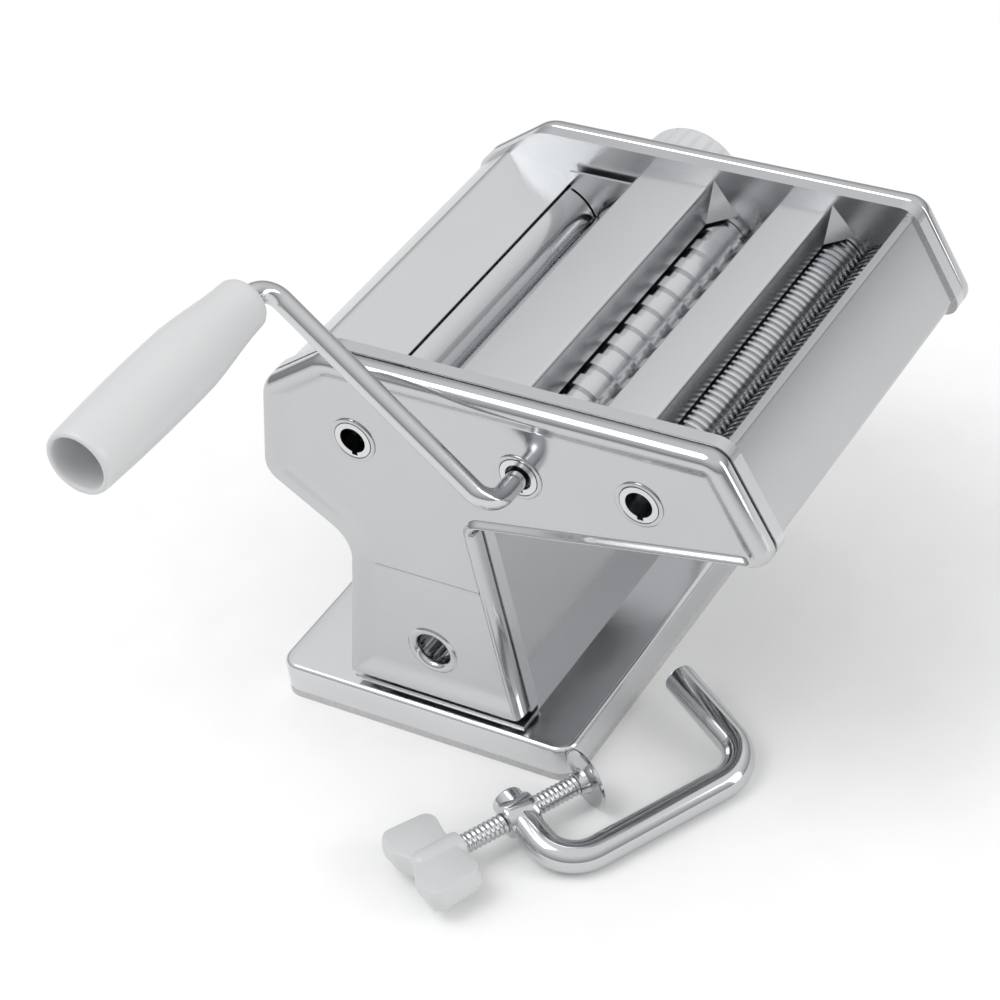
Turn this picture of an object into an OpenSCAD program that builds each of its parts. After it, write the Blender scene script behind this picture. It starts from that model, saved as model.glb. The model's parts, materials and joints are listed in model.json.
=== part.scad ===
// Hand-cranked pasta machine: sheet rollers, wide and narrow cutters, crank, gap dial and table clamp.
// Millimetres. +Z is up, the rollers run along Y, and the crank goes in at the -Y end.
// The origin is the middle of the base's underside.

/* [Body] */
// Length of the rollers' chamber, between the two frame plates
body_len = 145; // [120:1:190]
// Thickness of the inner frame plates
frame_sheet = 1.2; // [1:0.1:1.6]
// Width of the flange round each frame plate
flange_w = 5.5; // [4.5:0.5:7]
// Thickness of the outer covers' sheet
cover_sheet = 0.9; // [0.6:0.1:1.2]
// Depth of the outer covers, from the seam to the top of the raised rim
cover_depth = 7.7; // [7.5:0.1:9]
// Height of the raised rim over the covers' recessed face
rim_rise = 2.5; // [1.5:0.1:2.9]
// Seam between a frame plate's flange and its outer cover
seam = 0.3; // [0.2:0.1:0.6]
// Sheet thickness of the top covers and the apron
top_sheet = 1; // [0.8:0.1:1.2]
// Height of the plates' top edge over the narrow cutter's axis
top_rise = 30; // [28:0.5:36]
// Depth of the flat top covers below the plates' top edge
top_drop = 5; // [3:0.5:7]

/* [Rollers] */
// Diameter of the smooth rollers
smooth_d = 34; // [30:0.5:36]
// Place of the fixed smooth roller's axis in front of the base's middle
smooth_x = -12.4; // [-16:0.2:-10]
// Height of the smooth rollers' axes
smooth_z = 138.5; // [136:0.5:141]
// Thinnest sheet that the smooth rollers make
gap_min = 0.3; // [0.2:0.1:0.5]
// Eccentricity of the gap shaft's discs
gap_throw = 1.5; // [1.2:0.1:1.6]
// Diameter of the cutter rollers over their discs
cutter_d = 24; // [23:0.5:25]
// Depth by which the discs of one cutter pass those of the other
cutter_lap = 1; // [0.8:0.1:1.2]
// Height of the wide cutters' axes over the smooth rollers'
wide_rise = 4; // [2.5:0.5:6.5]
// Height of the narrow cutters' axes over the smooth rollers'
narrow_rise = 6.5; // [4.5:0.5:9.5]
// Width of the wide noodles
wide_noodle = 6.5; // [5:0.5:8]
// Width of the narrow noodles
narrow_noodle = 1.55; // [1.5:0.05:2.5]
// Play between neighbouring cutter discs
disc_play = 0.1; // [0.08:0.01:0.15]
// Room between the adjustable roller and the wide cutters, and between the two pairs of cutters
pair_gap = 4.1; // [3.5:0.1:6]
// Radius of the rollers' journals
journal_r = 7.5; // [7:0.1:8]
// Radius of the crank sockets
socket_r = 5.3; // [5:0.1:5.6]
// Depth of the crank sockets
socket_depth = 22; // [18:1:30]
// Running clearance of each shaft in its bush
fit = 0.05; // [0.03:0.01:0.08]

/* [Gears] */
// Number of teeth of each smooth roller's gear
smooth_teeth = 14; // [13:1:16]
// Number of teeth of each cutter's gear
cutter_teeth = 23; // [20:1:24]
// Width of the gears
gear_w = 4; // [3:0.1:4.2]
// Thinning of each tooth along the pitch circle
tooth_slack = 0.12; // [0.1:0.01:0.2]

/* [Base] */
// Size of the base from back to front
base_w = 132; // [120:1:150]
// Size of the base along the rollers, past the chamber's length
base_over = 33; // [31:1:40]
// Height of the base, with its mat
base_h = 16; // [14:0.5:20]
// Thickness of the base's sheet
base_sheet = 1.2; // [0.8:0.1:1.6]
// Height of the mat that shows below the base's skirt
mat_h = 3.5; // [3:0.5:5]
// Radius of the base's corners
base_corner = 8; // [6:0.5:12]
// Radius of the clamp hole in the pedestal
clamp_hole_r = 6.9; // [6.7:0.1:7.4]
// Height of the clamp hole
clamp_hole_z = 43; // [40:1:50]
// Place of the clamp hole in front of the base's middle
clamp_hole_x = 7; // [3:1:10]

/* [Crank] */
// Diameter of the crank's rod
crank_d = 8; // [7:0.1:8.4]
// Distance between the crank's two axes
crank_len = 110; // [80:1:110]
// Angle of the crank's arm over the horizontal, at rest
crank_angle = 137; // [90:1:180]
// Distance of the arm's axis out from the covers' rim
crank_reach = 16.5; // [14:0.5:22]
// Inside radius of the crank's bends
crank_bend = 5; // [4:0.5:8]
// Length of the hand grip
grip_len = 96; // [80:1:105]
// Largest diameter of the hand grip
grip_d = 27; // [24:0.5:27]

/* [Dial] */
// Diameter of the gap dial
dial_d = 47; // [42:0.5:50]
// Length of the gap dial
dial_len = 30; // [28:0.5:34]
// Angle from the dial's middle setting to each end
dial_swing = 60; // [50:1:60]
// Number of dial settings
dial_settings = 7; // [5:2:7]
// Travel of the dial when it is pulled out
dial_pull = 4; // [3.5:0.1:4.5]

/* [Clamp] */
// Diameter of the clamp's rod
clamp_d = 12.4; // [11:0.2:12.8]
// Distance between the clamp's two arms, between their axes
clamp_span = 86; // [76:1:90]
// Length of the arm that goes into the machine, from the back's axis
clamp_arm = 50; // [44:1:60]
// Distance of the screw from the back's axis
screw_arm = 29; // [27:0.5:36]
// Inside radius of the clamp's bends
clamp_bend = 9; // [7:0.5:12]
// Diameter of the clamp screw
screw_d = 8; // [6:0.5:8]
// Pitch of the clamp screw
screw_pitch = 2; // [1.25:0.25:2]
// Length of the clamp screw, from the pad to its knob
screw_len = 68; // [64:1:75]
// Diameter of the clamp's pad
pad_d = 24.4; // [22:0.2:26]
// Distance of the pad from the screw arm's axis, at rest
pad_out = 29; // [26:1:32]
// Width of the wing knob over its two wings
wing_w = 42; // [38:1:50]
// Thickness of the wing knob
wing_t = 10; // [8:0.5:10]

/* [Hidden] */
$fn = 64;

// Planes along the rollers, as distances from the middle
half = body_len / 2;
frame_out = half + frame_sheet;
flange_out = half + flange_w;
cover_in = flange_out + seam;
rim_out = cover_in + cover_depth;
face_out = rim_out - rim_rise;
face_in = face_out - cover_sheet;
roller_play = 0.3;
roller_end = half - roller_play;
layer_gap = 0.3;
over = 1;

// Axes of the rollers
wide_z = smooth_z + wide_rise;
narrow_z = smooth_z + narrow_rise;
smooth_r = smooth_d / 2;
cutter_r = cutter_d / 2;
gap_travel = gap_throw * sin(dial_swing);
smooth_near = smooth_d + gap_min;
adj_x = smooth_x + smooth_near + gap_travel;
cutter_span = cutter_d - cutter_lap;
wide_x = adj_x + smooth_r + gap_travel + pair_gap + cutter_r;
wide_mate_x = wide_x + cutter_span;
pair_play = 1.2;
narrow_x = wide_mate_x + cutter_d + pair_play;
narrow_mate_x = narrow_x + cutter_span;

// Outline of the end plates, anticlockwise from the pedestal's rear foot
plate_top = narrow_z + top_rise;
cover_top = plate_top - top_drop;
foot_rear = 33.5;
foot_front = 45;
cover_foot = 4.5;
neck_rear = 20.5;
neck_rear_drop = 48.5;
neck_front = 34.8;
neck_front_drop = 26.2;
toe_out = 29;
toe_drop = 12;
brow_out = 9.5;
crown_back = 7.6;
shoulder_back = 19.2;
shoulder_drop = 19;
hip_back = 26.5;
hip_drop = 24;
front_toe = narrow_mate_x + toe_out;
rear_edge = smooth_x - smooth_r;
side_points = [
    [-foot_rear, base_h], [foot_front, base_h], [neck_front, smooth_z - neck_front_drop],
    [front_toe, narrow_z - toe_drop], [narrow_mate_x + brow_out, plate_top],
    [smooth_x - crown_back, plate_top], [rear_edge - shoulder_back, plate_top - shoulder_drop],
    [rear_edge - hip_back, smooth_z - hip_drop], [-neck_rear, smooth_z - neck_rear_drop]
];
side_radii = [2, 2, 5, 6, 9, 16, 10, 9, 14];
corner_least = 0.4;
arc_steps = 8;
edges = len(side_points);

// Widths of the raised rim along the outline's edges, in the same order
rim_foot = 2;
rim_post = 5;
rim_under = 3;
rim_front = 9;
rim_top = 10;
rim_crown = 9;
rim_back = 5;
rim_hip = 2;
rim_widths = [
    rim_foot, rim_post, rim_under, rim_front, rim_top, rim_crown, rim_back, rim_hip, rim_hip
];
rim_round = 0.4;

// Vectors and outlines
function unit(v) = v / norm(v);
function left_of(a, b) = let (u = unit(b - a)) [-u[1], u[0]];
function cross_of(a, b) = a[0] * b[1] - a[1] * b[0];
function meet(p, n1, d1, n2, d2) =
    p + [d1 * n2[1] - d2 * n1[1], d2 * n1[0] - d1 * n2[0]] / cross_of(n1, n2);
function same(d, count) = [for (i = [1:count]) d];
function inset(points, d) = let (n = len(points)) [
    for (i = [0:n - 1])
        let (a = points[(i + n - 1) % n], b = points[i], c = points[(i + 1) % n])
        meet(b, left_of(a, b), d[(i + n - 1) % n], left_of(b, c), d[i])
];
function turn_sign(a, b, c) = cross_of(b - a, c - b) > 0 ? 1 : -1;
function corner(a, b, c, r) =
    let (u = unit(a - b), v = unit(c - b), wedge = acos(u * v), s = turn_sign(a, b, c))
    let (centre = b + unit(u + v) * r / sin(wedge / 2), from = b + u * r / tan(wedge / 2) - centre)
    let (start = atan2(from[1], from[0]))
    [for (k = [0:arc_steps])
        let (t = start + s * (180 - wedge) * k / arc_steps) centre + r * [cos(t), sin(t)]];
function rounded(points, radii) = let (n = len(points)) [
    for (i = [0:n - 1])
        each corner(points[(i + n - 1) % n], points[i], points[(i + 1) % n], radii[i])
];
function turned_radius(a, b, c, r, step) = max(corner_least, r - turn_sign(a, b, c) * step);
function outline(points, d) = let (n = len(points)) rounded(inset(points, d), [
    for (i = [0:n - 1])
        turned_radius(points[(i + n - 1) % n], points[i], points[(i + 1) % n], side_radii[i],
            min(d[i], d[(i + n - 1) % n]))
]);
function frame_outline(d) = outline(side_points, same(d, edges));
function along(a, b, z) = a + (b - a) * (z - a[1]) / (b[1] - a[1]);
cover_base = base_h + cover_foot;
cover_points = concat(
    [along(side_points[0], side_points[edges - 1], cover_base)],
    [along(side_points[1], side_points[2], cover_base)],
    [for (i = [2:edges - 1]) side_points[i]]);
function cover_outline(d) = outline(cover_points, same(d, edges));
function rim_inner(d) = outline(cover_points, rim_widths - same(d, edges));
function beside(path, d) = let (n = len(path)) [
    for (i = [0:n - 1])
        i == 0 ? path[0] + d * left_of(path[0], path[1])
        : i == n - 1 ? path[i] + d * left_of(path[i - 1], path[i])
        : meet(path[i], left_of(path[i - 1], path[i]), d, left_of(path[i], path[i + 1]), d)
];
function backwards(list) = [for (i = [len(list) - 1:-1:0]) list[i]];
function sheet_points(path, t) = concat(path, backwards(beside(path, t)));

// Puts a drawing of X and Z between two planes along Y
module slab(y0, y1) {
    translate([0, y1, 0])
        rotate([90, 0, 0])
            linear_extrude(y1 - y0)
                children();
}

// The same between two distances from the middle, on the side that s names
module slab_side(s, inner, outer) {
    slab(min(s * inner, s * outer), max(s * inner, s * outer))
        children();
}

// A round bar along Y on the axis x, z, between two distances on the side that s names
module bar(s, x, z, r, inner, outer) {
    slab_side(s, inner, outer)
        translate([x, z])
            circle(r);
}

// Turns a drawing of radius and height into a body round the axis x, z along Y
module turned(x, z) {
    translate([x, 0, z])
        rotate([-90, 0, 0])
            rotate_extrude()
                children();
}

// Where the rollers, the shaft and the ties pass through the end plates
bush_r = 9.5;
bush_flange_r = 11;
bush_flange = 1.5;
bushed_axes = [
    [smooth_x, smooth_z], [wide_x, wide_z], [wide_mate_x, wide_z],
    [narrow_x, narrow_z], [narrow_mate_x, narrow_z]
];
socket_axes = [[smooth_x, smooth_z], [wide_x, wide_z], [narrow_x, narrow_z]];
tie_r = 3.4;
tie_end_r = 2;
tie_back = 12;
tie_back_drop = 14;
tie_mid = 3.7;
tie_mid_drop = 17.5;
tie_front = 20.4;
tie_front_drop = 7.6;
tie_low_x = -16;
tie_low_z = 58;
tie_axes = [
    [rear_edge - tie_back, smooth_z - tie_back_drop],
    [adj_x + smooth_r + tie_mid, smooth_z - tie_mid_drop],
    [narrow_mate_x + tie_front, narrow_z - tie_front_drop],
    [tie_low_x, tie_low_z]
];
tie_proud = 0.6;
nut_r = 4;
nut_t = 3;

// Sliding brackets of the adjustable roller
adj_journal_r = 8.5;
adj_bore_r = 5.8;
boss_w = 10.5;
boss_h = 10;
window_play = 0.3;
slide_play = 0.08;
bracket_w = 14;
bracket_plate = 1.6;
bracket_in = frame_out + layer_gap / 2;
gear_in = frame_out + bush_flange + 2 * layer_gap;
gear_out = gear_in + gear_w;
yoke_t = 1.6;
yoke_in = gear_out + layer_gap;
yoke_out = yoke_in + yoke_t;
yoke_w = 11;
shaft_r = 4;
eccentric_r = 6.5;
yoke_play = 0.18;
pillar_t = 3;
pillar_w = 7;

/* Gears */
pressure = 25;
smooth_pitch_r = smooth_near / 2;
cutter_pitch_r = cutter_span / 2;
smooth_reach = 2.45;
cutter_reach = 1;
smooth_clear = 0.35;
cutter_clear = 0.25;
flank_steps = 4;
function involute(a) = tan(a) * 180 / PI - a;
function flank_angle(teeth, pitch_r, r) =
    let (base_r = pitch_r * cos(pressure), at = acos(min(1, base_r / max(r, base_r))))
    90 / teeth - tooth_slack * 90 / (PI * pitch_r) + involute(pressure) - involute(at);
function gear_points(teeth, pitch_r, reach, clear) =
    let (tip = pitch_r + reach, root = pitch_r - reach - clear, low = pitch_r * cos(pressure))
    let (rise = [for (k = [0:flank_steps]) max(root, low) + (tip - max(root, low)) * k / flank_steps])
    [for (i = [0:teeth - 1])
        let (a = i * 360 / teeth)
        each concat(
            [let (t = a - flank_angle(teeth, pitch_r, rise[0])) root * [cos(t), sin(t)]],
            [for (r = rise) let (t = a - flank_angle(teeth, pitch_r, r)) r * [cos(t), sin(t)]],
            [for (r = backwards(rise))
                let (t = a + flank_angle(teeth, pitch_r, r)) r * [cos(t), sin(t)]],
            [let (t = a + flank_angle(teeth, pitch_r, rise[0])) root * [cos(t), sin(t)]])];

module gear(x, z, bore, teeth, pitch_r, reach, clear, turn) {
    slab(gear_in, gear_out)
        translate([x, z])
            difference() {
                rotate(turn)
                    polygon(gear_points(teeth, pitch_r, reach, clear));
                circle(bore);
            }
}

module smooth_gear(x, bore, turn) {
    gear(x, smooth_z, bore, smooth_teeth, smooth_pitch_r, smooth_reach, smooth_clear, turn);
}

module cutter_gear(x, z, turn) {
    gear(x, z, journal_r, cutter_teeth, cutter_pitch_r, cutter_reach, cutter_clear, turn);
}

function mate_turn(teeth) = 180 + 180 / teeth;

// Base
base_l = body_len + base_over;
base_pts = [
    [-base_w / 2, -base_l / 2], [base_w / 2, -base_l / 2],
    [base_w / 2, base_l / 2], [-base_w / 2, base_l / 2]
];
mat_lip = 3;
mat_play = 0.1;
mat_wall = 4;
top_round = 1.2;

module base_outline(d) {
    polygon(rounded(inset(base_pts, same(d, 4)), same(base_corner - d, 4)));
}

module base_plate() {
    color([0.8, 0.81, 0.82])
        difference() {
            union() {
                translate([0, 0, mat_h])
                    linear_extrude(base_h - mat_h - top_round)
                        base_outline(0);
                translate([0, 0, base_h - top_round])
                    linear_extrude(top_round / 2)
                        base_outline(top_round / 4);
                translate([0, 0, base_h - top_round / 2])
                    linear_extrude(top_round / 2)
                        base_outline(top_round);
            }
            translate([0, 0, mat_h - over])
                linear_extrude(base_h - mat_h - base_sheet + over)
                    base_outline(base_sheet + top_round);
            translate([0, 0, mat_h - over])
                linear_extrude(base_h - mat_h - top_round - base_sheet + over)
                    base_outline(base_sheet);
            foot_screw_holes();
        }
}

module base_mat() {
    color([0.72, 0.72, 0.71])
        difference() {
            union() {
                linear_extrude(mat_h)
                    base_outline(0);
                translate([0, 0, mat_h])
                    linear_extrude(mat_lip)
                        base_outline(base_sheet + mat_play);
            }
            translate([0, 0, mat_h])
                linear_extrude(mat_lip + over)
                    base_outline(base_sheet + mat_play + mat_wall);
        }
}

// Screws that hold the frame plates' feet down on the base
foot_t = frame_sheet;
foot_w = 10;
foot_inset = 11;
screw_r = 2;
screw_head_r = 3.4;
screw_head = 1.6;
screw_below = 3;
foot_y = frame_out + foot_w / 2;
foot_spots = [-foot_rear + foot_inset, foot_front - foot_inset];

module foot_screw_holes() {
    for (s = [-1, 1], x = foot_spots)
        translate([x, s * foot_y, base_h - base_sheet - over])
            cylinder(h = base_sheet + foot_t + 2 * over, r = screw_r);
}

module foot_screws() {
    color([0.7, 0.71, 0.72])
        for (s = [-1, 1], x = foot_spots)
            translate([x, s * foot_y, base_h - screw_below]) {
                cylinder(h = screw_below + foot_t, r = screw_r);
                translate([0, 0, screw_below + foot_t])
                    cylinder(h = screw_head, r = screw_head_r);
            }
}

// Inner frame plates
module frame_holes() {
    for (p = bushed_axes)
        translate(p)
            circle(bush_r);
    for (p = tie_axes)
        translate(p)
            circle(tie_end_r);
    translate([adj_x, smooth_z])
        square(2 * [boss_w + gap_travel + window_play, boss_h + slide_play], center = true);
    translate([clamp_hole_x, clamp_hole_z])
        circle(clamp_sleeve_r);
}

module frame_plate(s) {
    color([0.78, 0.79, 0.8])
        difference() {
            union() {
                slab_side(s, half, frame_out)
                    difference() {
                        polygon(frame_outline(0));
                        frame_holes();
                    }
                slab_side(s, half, flange_out)
                    difference() {
                        polygon(frame_outline(0));
                        polygon(frame_outline(frame_sheet));
                        square([4 * foot_front, 2 * cover_base], center = true);
                    }
                slab_side(s, half, frame_out + foot_w)
                    translate([-foot_rear + frame_sheet, base_h])
                        square([foot_front + foot_rear - 2 * frame_sheet, foot_t]);
            }
            foot_screw_holes();
        }
}

module near_frame_plate() {
    frame_plate(-1);
}

module far_frame_plate() {
    frame_plate(1);
}

// Outer covers: a pan with a raised, rounded rim round a recessed face
crease_z = 79;
crease_w = 1.2;
crease_depth = 0.35;
ring_hole_r = 8.4;
shaft_hole_r = 12;

rim_shoulder = rim_out - 2 * rim_round;

module cover_shell(s) {
    slab_side(s, cover_in, rim_shoulder)
        difference() {
            polygon(cover_outline(0));
            polygon(cover_outline(cover_sheet));
        }
    slab_side(s, rim_shoulder, rim_shoulder + rim_round)
        difference() {
            polygon(cover_outline(rim_round / 2));
            polygon(rim_inner(rim_round));
        }
    slab_side(s, rim_shoulder + rim_round, rim_out)
        difference() {
            polygon(cover_outline(3 * rim_round / 2));
            polygon(rim_inner(2 * rim_round));
        }
    slab_side(s, face_in, rim_shoulder)
        difference() {
            polygon(rim_inner(cover_sheet));
            polygon(rim_inner(0));
        }
    slab_side(s, face_in, face_out)
        polygon(rim_inner(cover_sheet / 2));
}

module cover(s) {
    color([0.8, 0.81, 0.82])
        difference() {
            cover_shell(s);
            slab_side(s, face_out - crease_depth, face_out + over)
                intersection() {
                    translate([-foot_front, crease_z])
                        square([2 * foot_front, crease_w]);
                    polygon(rim_inner(0));
                }
            slab_side(s, cover_in, rim_out + over)
                translate([clamp_hole_x, clamp_hole_z])
                    circle(clamp_sleeve_r);
            if (s < 0)
                slab_side(s, cover_in, rim_out + over)
                    for (p = socket_axes)
                        translate(p)
                            circle(ring_hole_r);
            else
                slab_side(s, cover_in, rim_out + over)
                    translate([adj_x, smooth_z])
                        circle(shaft_hole_r);
        }
}

module near_outer_cover() {
    cover(-1);
}

module far_outer_cover() {
    cover(1);
}

// Collar round the clamp hole, through both sheets of each end
clamp_sleeve_wall = 2.3;
sleeve_flange = 0.8;
clamp_sleeve_r = clamp_hole_r + clamp_sleeve_wall;
sleeve_flange_r = clamp_sleeve_r + 2 * sleeve_flange;

module clamp_sleeve() {
    color([0.75, 0.76, 0.77])
        for (s = [-1, 1])
            difference() {
                union() {
                    bar(s, clamp_hole_x, clamp_hole_z, clamp_sleeve_r, half, face_out);
                    bar(s, clamp_hole_x, clamp_hole_z, sleeve_flange_r, face_out, face_out + sleeve_flange);
                    bar(s, clamp_hole_x, clamp_hole_z, sleeve_flange_r, half - sleeve_flange, half);
                }
                bar(s, clamp_hole_x, clamp_hole_z, clamp_hole_r, half - 2 * over, rim_out + over);
            }
}

// Bushes of the rollers in the frame plates
bush_end_play = 0.1;

module bush(s, p) {
    difference() {
        union() {
            bar(s, p[0], p[1], bush_r, roller_end + bush_end_play, frame_out);
            bar(s, p[0], p[1], bush_flange_r, frame_out, frame_out + bush_flange);
        }
        bar(s, p[0], p[1], journal_r + fit, half - over, gear_in + over);
    }
}

module near_bushes() {
    color([0.72, 0.6, 0.35])
        for (p = bushed_axes)
            bush(-1, p);
}

module far_bushes() {
    color([0.72, 0.6, 0.35])
        for (p = bushed_axes)
            bush(1, p);
}

// Rings round the three crank sockets, in the near cover
ring_flange_r = 9.4;
ring_flange = 0.7;
ring_play = 0.15;
ring_bore_r = journal_r + ring_play;
socket_proud = 0.5;
socket_end = face_out + socket_proud;

module socket_rings() {
    color([0.7, 0.71, 0.72])
        for (p = socket_axes)
            difference() {
                union() {
                    bar(-1, p[0], p[1], ring_hole_r, face_in, face_out);
                    bar(-1, p[0], p[1], ring_flange_r, face_out, face_out + ring_flange);
                }
                bar(-1, p[0], p[1], ring_bore_r, face_in - over, rim_out);
            }
}

// Spacers between the frame plates, and their nuts
module tie_rods() {
    color([0.65, 0.66, 0.67])
        for (p = tie_axes) {
            translate([p[0], half, p[1]])
                rotate([90, 0, 0])
                    cylinder(h = body_len, r = tie_r);
            for (s = [-1, 1])
                bar(s, p[0], p[1], tie_end_r, half, frame_out + nut_t + tie_proud);
        }
}

module tie_nuts() {
    color([0.6, 0.61, 0.62])
        for (p = tie_axes, s = [-1, 1])
            slab_side(s, frame_out, frame_out + nut_t)
                translate(p)
                    difference() {
                        circle(nut_r, $fn = 6);
                        circle(tie_end_r);
                    }
}

// Sheets of the top, each bent from a path of X and Z
module top_sheet_piece(path) {
    color([0.83, 0.84, 0.85])
        slab(-half, half)
            polygon(sheet_points(path, top_sheet));
}

sheet_inset = 1.4;
side_inner = inset(side_points, same(sheet_inset, edges));
lip_over = 6.4;
lip_rise = 18;
lip_hem = 1.2;
feed_share = 0.52;
back_low = 12;

module rear_cover() {
    lip = [smooth_x + lip_over, smooth_z + lip_rise];
    feed_top = side_inner[5] + (side_inner[6] - side_inner[5]) * feed_share;
    hip_end = side_inner[7] + unit(side_inner[8] - side_inner[7]) * back_low;
    top_sheet_piece([lip + [0, -lip_hem], lip, feed_top, side_inner[6], side_inner[7], hip_end]);
}

mid_start = 4.3;
wall_play = 1.1;
mid_left = adj_x + mid_start;
mid_right = wide_x - wall_play;
second_left = wide_mate_x + mid_start + wall_play;
second_right = narrow_x;
wall_left_z = smooth_z + smooth_r;
wall_wide_z = wide_z + cutter_r + wall_play;
wall_mate_z = wide_z + cutter_r;
wall_narrow_z = narrow_z + cutter_r + wall_play;

module mid_cover() {
    top_sheet_piece([
        [mid_right, wall_wide_z], [mid_right, cover_top],
        [mid_left, cover_top], [mid_left, wall_left_z]
    ]);
}

module second_cover() {
    top_sheet_piece([
        [second_right, wall_narrow_z], [second_right, cover_top],
        [second_left, cover_top], [second_left, wall_mate_z]
    ]);
}

apron_hem = 3;
apron_drop = 1.8;
apron_low_share = 0.9;
apron_low_hem = 1.3;

module front_apron() {
    run = unit(side_inner[3] - side_inner[4]);
    top = side_inner[4] + run * apron_drop;
    low = side_inner[4] + (side_inner[3] - side_inner[4]) * apron_low_share;
    top_sheet_piece([low + [-apron_low_hem, 0], low, top, top + [-apron_hem, 0]]);
}

// Curved front panel of the pedestal, from below the cutters down to the base
panel_sheet = 1;
panel_curve = 20;
panel_reach = 24;

module front_pedestal_panel() {
    knee = side_inner[2];
    low = along(side_inner[1], knee, base_h);
    high = knee + unit(side_inner[3] - knee) * panel_reach;
    path = concat([low], corner(low, knee, high, panel_curve), [high]);
    color([0.75, 0.76, 0.77])
        slab(-half, half)
            polygon(sheet_points(path, panel_sheet));
}

// Cheeks that close the ends of the three hoppers
cheek_in = 3.4;
cheek_t = 1.2;
cheek_play = 0.6;
cheek_rise = 23.5;
saddle_from = 20;
saddle_to = 66;
gusset_w = 9;
gusset_t = 0.8;

module sector(r, a0, a1) {
    steps = 6;
    polygon(concat([[0, 0]], [for (k = [0:steps])
        let (t = a0 + (a1 - a0) * k / steps) r * [cos(t), sin(t)]]));
}

// The part of a vertical corner below a slanted plane through its top; s names the end of the machine
module corner_wedge(s, low, high) {
    far = 2 * (high - low);
    tilt = atan2(sqrt(2) * (high - low), gusset_w);
    intersection() {
        translate([0, 0, low])
            linear_extrude(high - low)
                polygon([[0, 0], [gusset_w, 0], [0, -s * gusset_w]]);
        translate([0, 0, high])
            rotate([0, 0, -s * 45])
                rotate([0, tilt, 0])
                    translate([-far, -far, -far])
                        cube([2 * far, 2 * far, far]);
    }
}

// A slanted triangle of sheet in the corner between a hopper's wall and the end plate
module gusset(s, x, low, high) {
    translate([x, s * half, 0])
        difference() {
            corner_wedge(s, low, high);
            translate([-gusset_t, s * gusset_t, 0])
                corner_wedge(s, low - over, high);
        }
}

module cheek_plate() {
    difference() {
        translate([smooth_x + lip_over + cheek_play, smooth_z])
            square([mid_left - smooth_x - lip_over - 2 * cheek_play, cheek_rise]);
        translate([smooth_x, smooth_z])
            circle(smooth_r + cheek_play);
        translate([adj_x, smooth_z])
            circle(smooth_r + gap_travel + cheek_play);
    }
}

module saddle() {
    translate([smooth_x, smooth_z])
        difference() {
            intersection() {
                circle(smooth_r + cheek_play + cheek_t);
                sector(2 * smooth_r, saddle_from, saddle_to);
            }
            circle(smooth_r + cheek_play);
        }
}

module cheeks(s) {
    color([0.86, 0.87, 0.88]) {
        slab_side(s, half - cheek_in, half - cheek_in + cheek_t)
            cheek_plate();
        slab_side(s, half - cheek_in, half)
            saddle();
        gusset(s, mid_right, wall_wide_z, cover_top);
        gusset(s, second_right, wall_narrow_z, cover_top);
    }
}

module near_cheeks() {
    cheeks(-1);
}

module far_cheeks() {
    cheeks(1);
}

// Scrapers and combs below the rollers
blade_t = 0.8;
blade_gap = 0.4;
blade_h = 9;
blade_side = 6;

function below(z, r) = z - sqrt(r * r - pow(blade_side - blade_t, 2));

module blade(x, z, r) {
    slab(-half, half)
        translate([x, below(z, r) - blade_h])
            square([blade_t, blade_h]);
}

module smooth_scrapers() {
    color([0.5, 0.51, 0.52]) {
        blade(smooth_x - blade_side, smooth_z, smooth_r + blade_gap);
        blade(adj_x + blade_side - blade_t, smooth_z, smooth_r + blade_gap + gap_travel);
    }
}

core_play = 0.3;
core_r = cutter_r - cutter_lap - core_play;
comb_gap = 0.25;

// A comb whose teeth stand in the grooves of a cutter; the discs lie at phase + k times the pitch
module comb(x, z, noodle, phase) {
    pitch = 2 * noodle;
    groove = noodle + 2 * disc_play;
    tooth = groove - 4 * disc_play;
    top = below(z, core_r + comb_gap);
    low = below(z, cutter_r + comb_gap);
    count = floor((half - noodle) / pitch);
    translate([x, 0, 0]) {
        translate([0, -half, low - blade_h])
            cube([blade_t, body_len, blade_h]);
        for (k = [-count - 1:count])
            let (y = phase + (k + 1 / 2) * pitch)
            if (abs(y) < half - noodle)
                translate([0, y - tooth / 2, low - over])
                    cube([blade_t, tooth, top - low + over]);
    }
}

module wide_combs() {
    color([0.5, 0.51, 0.52]) {
        comb(wide_x - blade_side, wide_z, wide_noodle, 0);
        comb(wide_mate_x + blade_side - blade_t, wide_z, wide_noodle, wide_noodle);
    }
}

module narrow_combs() {
    color([0.5, 0.51, 0.52]) {
        comb(narrow_x - blade_side, narrow_z, narrow_noodle, 0);
        comb(narrow_mate_x + blade_side - blade_t, narrow_z, narrow_noodle, narrow_noodle);
    }
}

// Rollers
key_w = 2.4;
key_out = 1.3;
journal_far = gear_out + layer_gap;
journal_near = frame_out + 4;

module crank_socket(x, z) {
    bar(-1, x, z, socket_r, socket_end - socket_depth, socket_end + over);
    slab_side(-1, socket_end - socket_depth, socket_end + over)
        translate([x - key_w / 2, z - socket_r - key_out])
            square([key_w, socket_r]);
}

module smooth_body(x) {
    bar(1, x, smooth_z, smooth_r, -roller_end, roller_end);
}

module fixed_smooth_roller() {
    color([0.8, 0.81, 0.83])
        difference() {
            union() {
                smooth_body(smooth_x);
                bar(1, smooth_x, smooth_z, journal_r, 0, journal_far);
                bar(-1, smooth_x, smooth_z, journal_r, 0, socket_end);
            }
            crank_socket(smooth_x, smooth_z);
        }
}

module fixed_smooth_gear() {
    color([0.55, 0.56, 0.57])
        smooth_gear(smooth_x, journal_r, 0);
}

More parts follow.
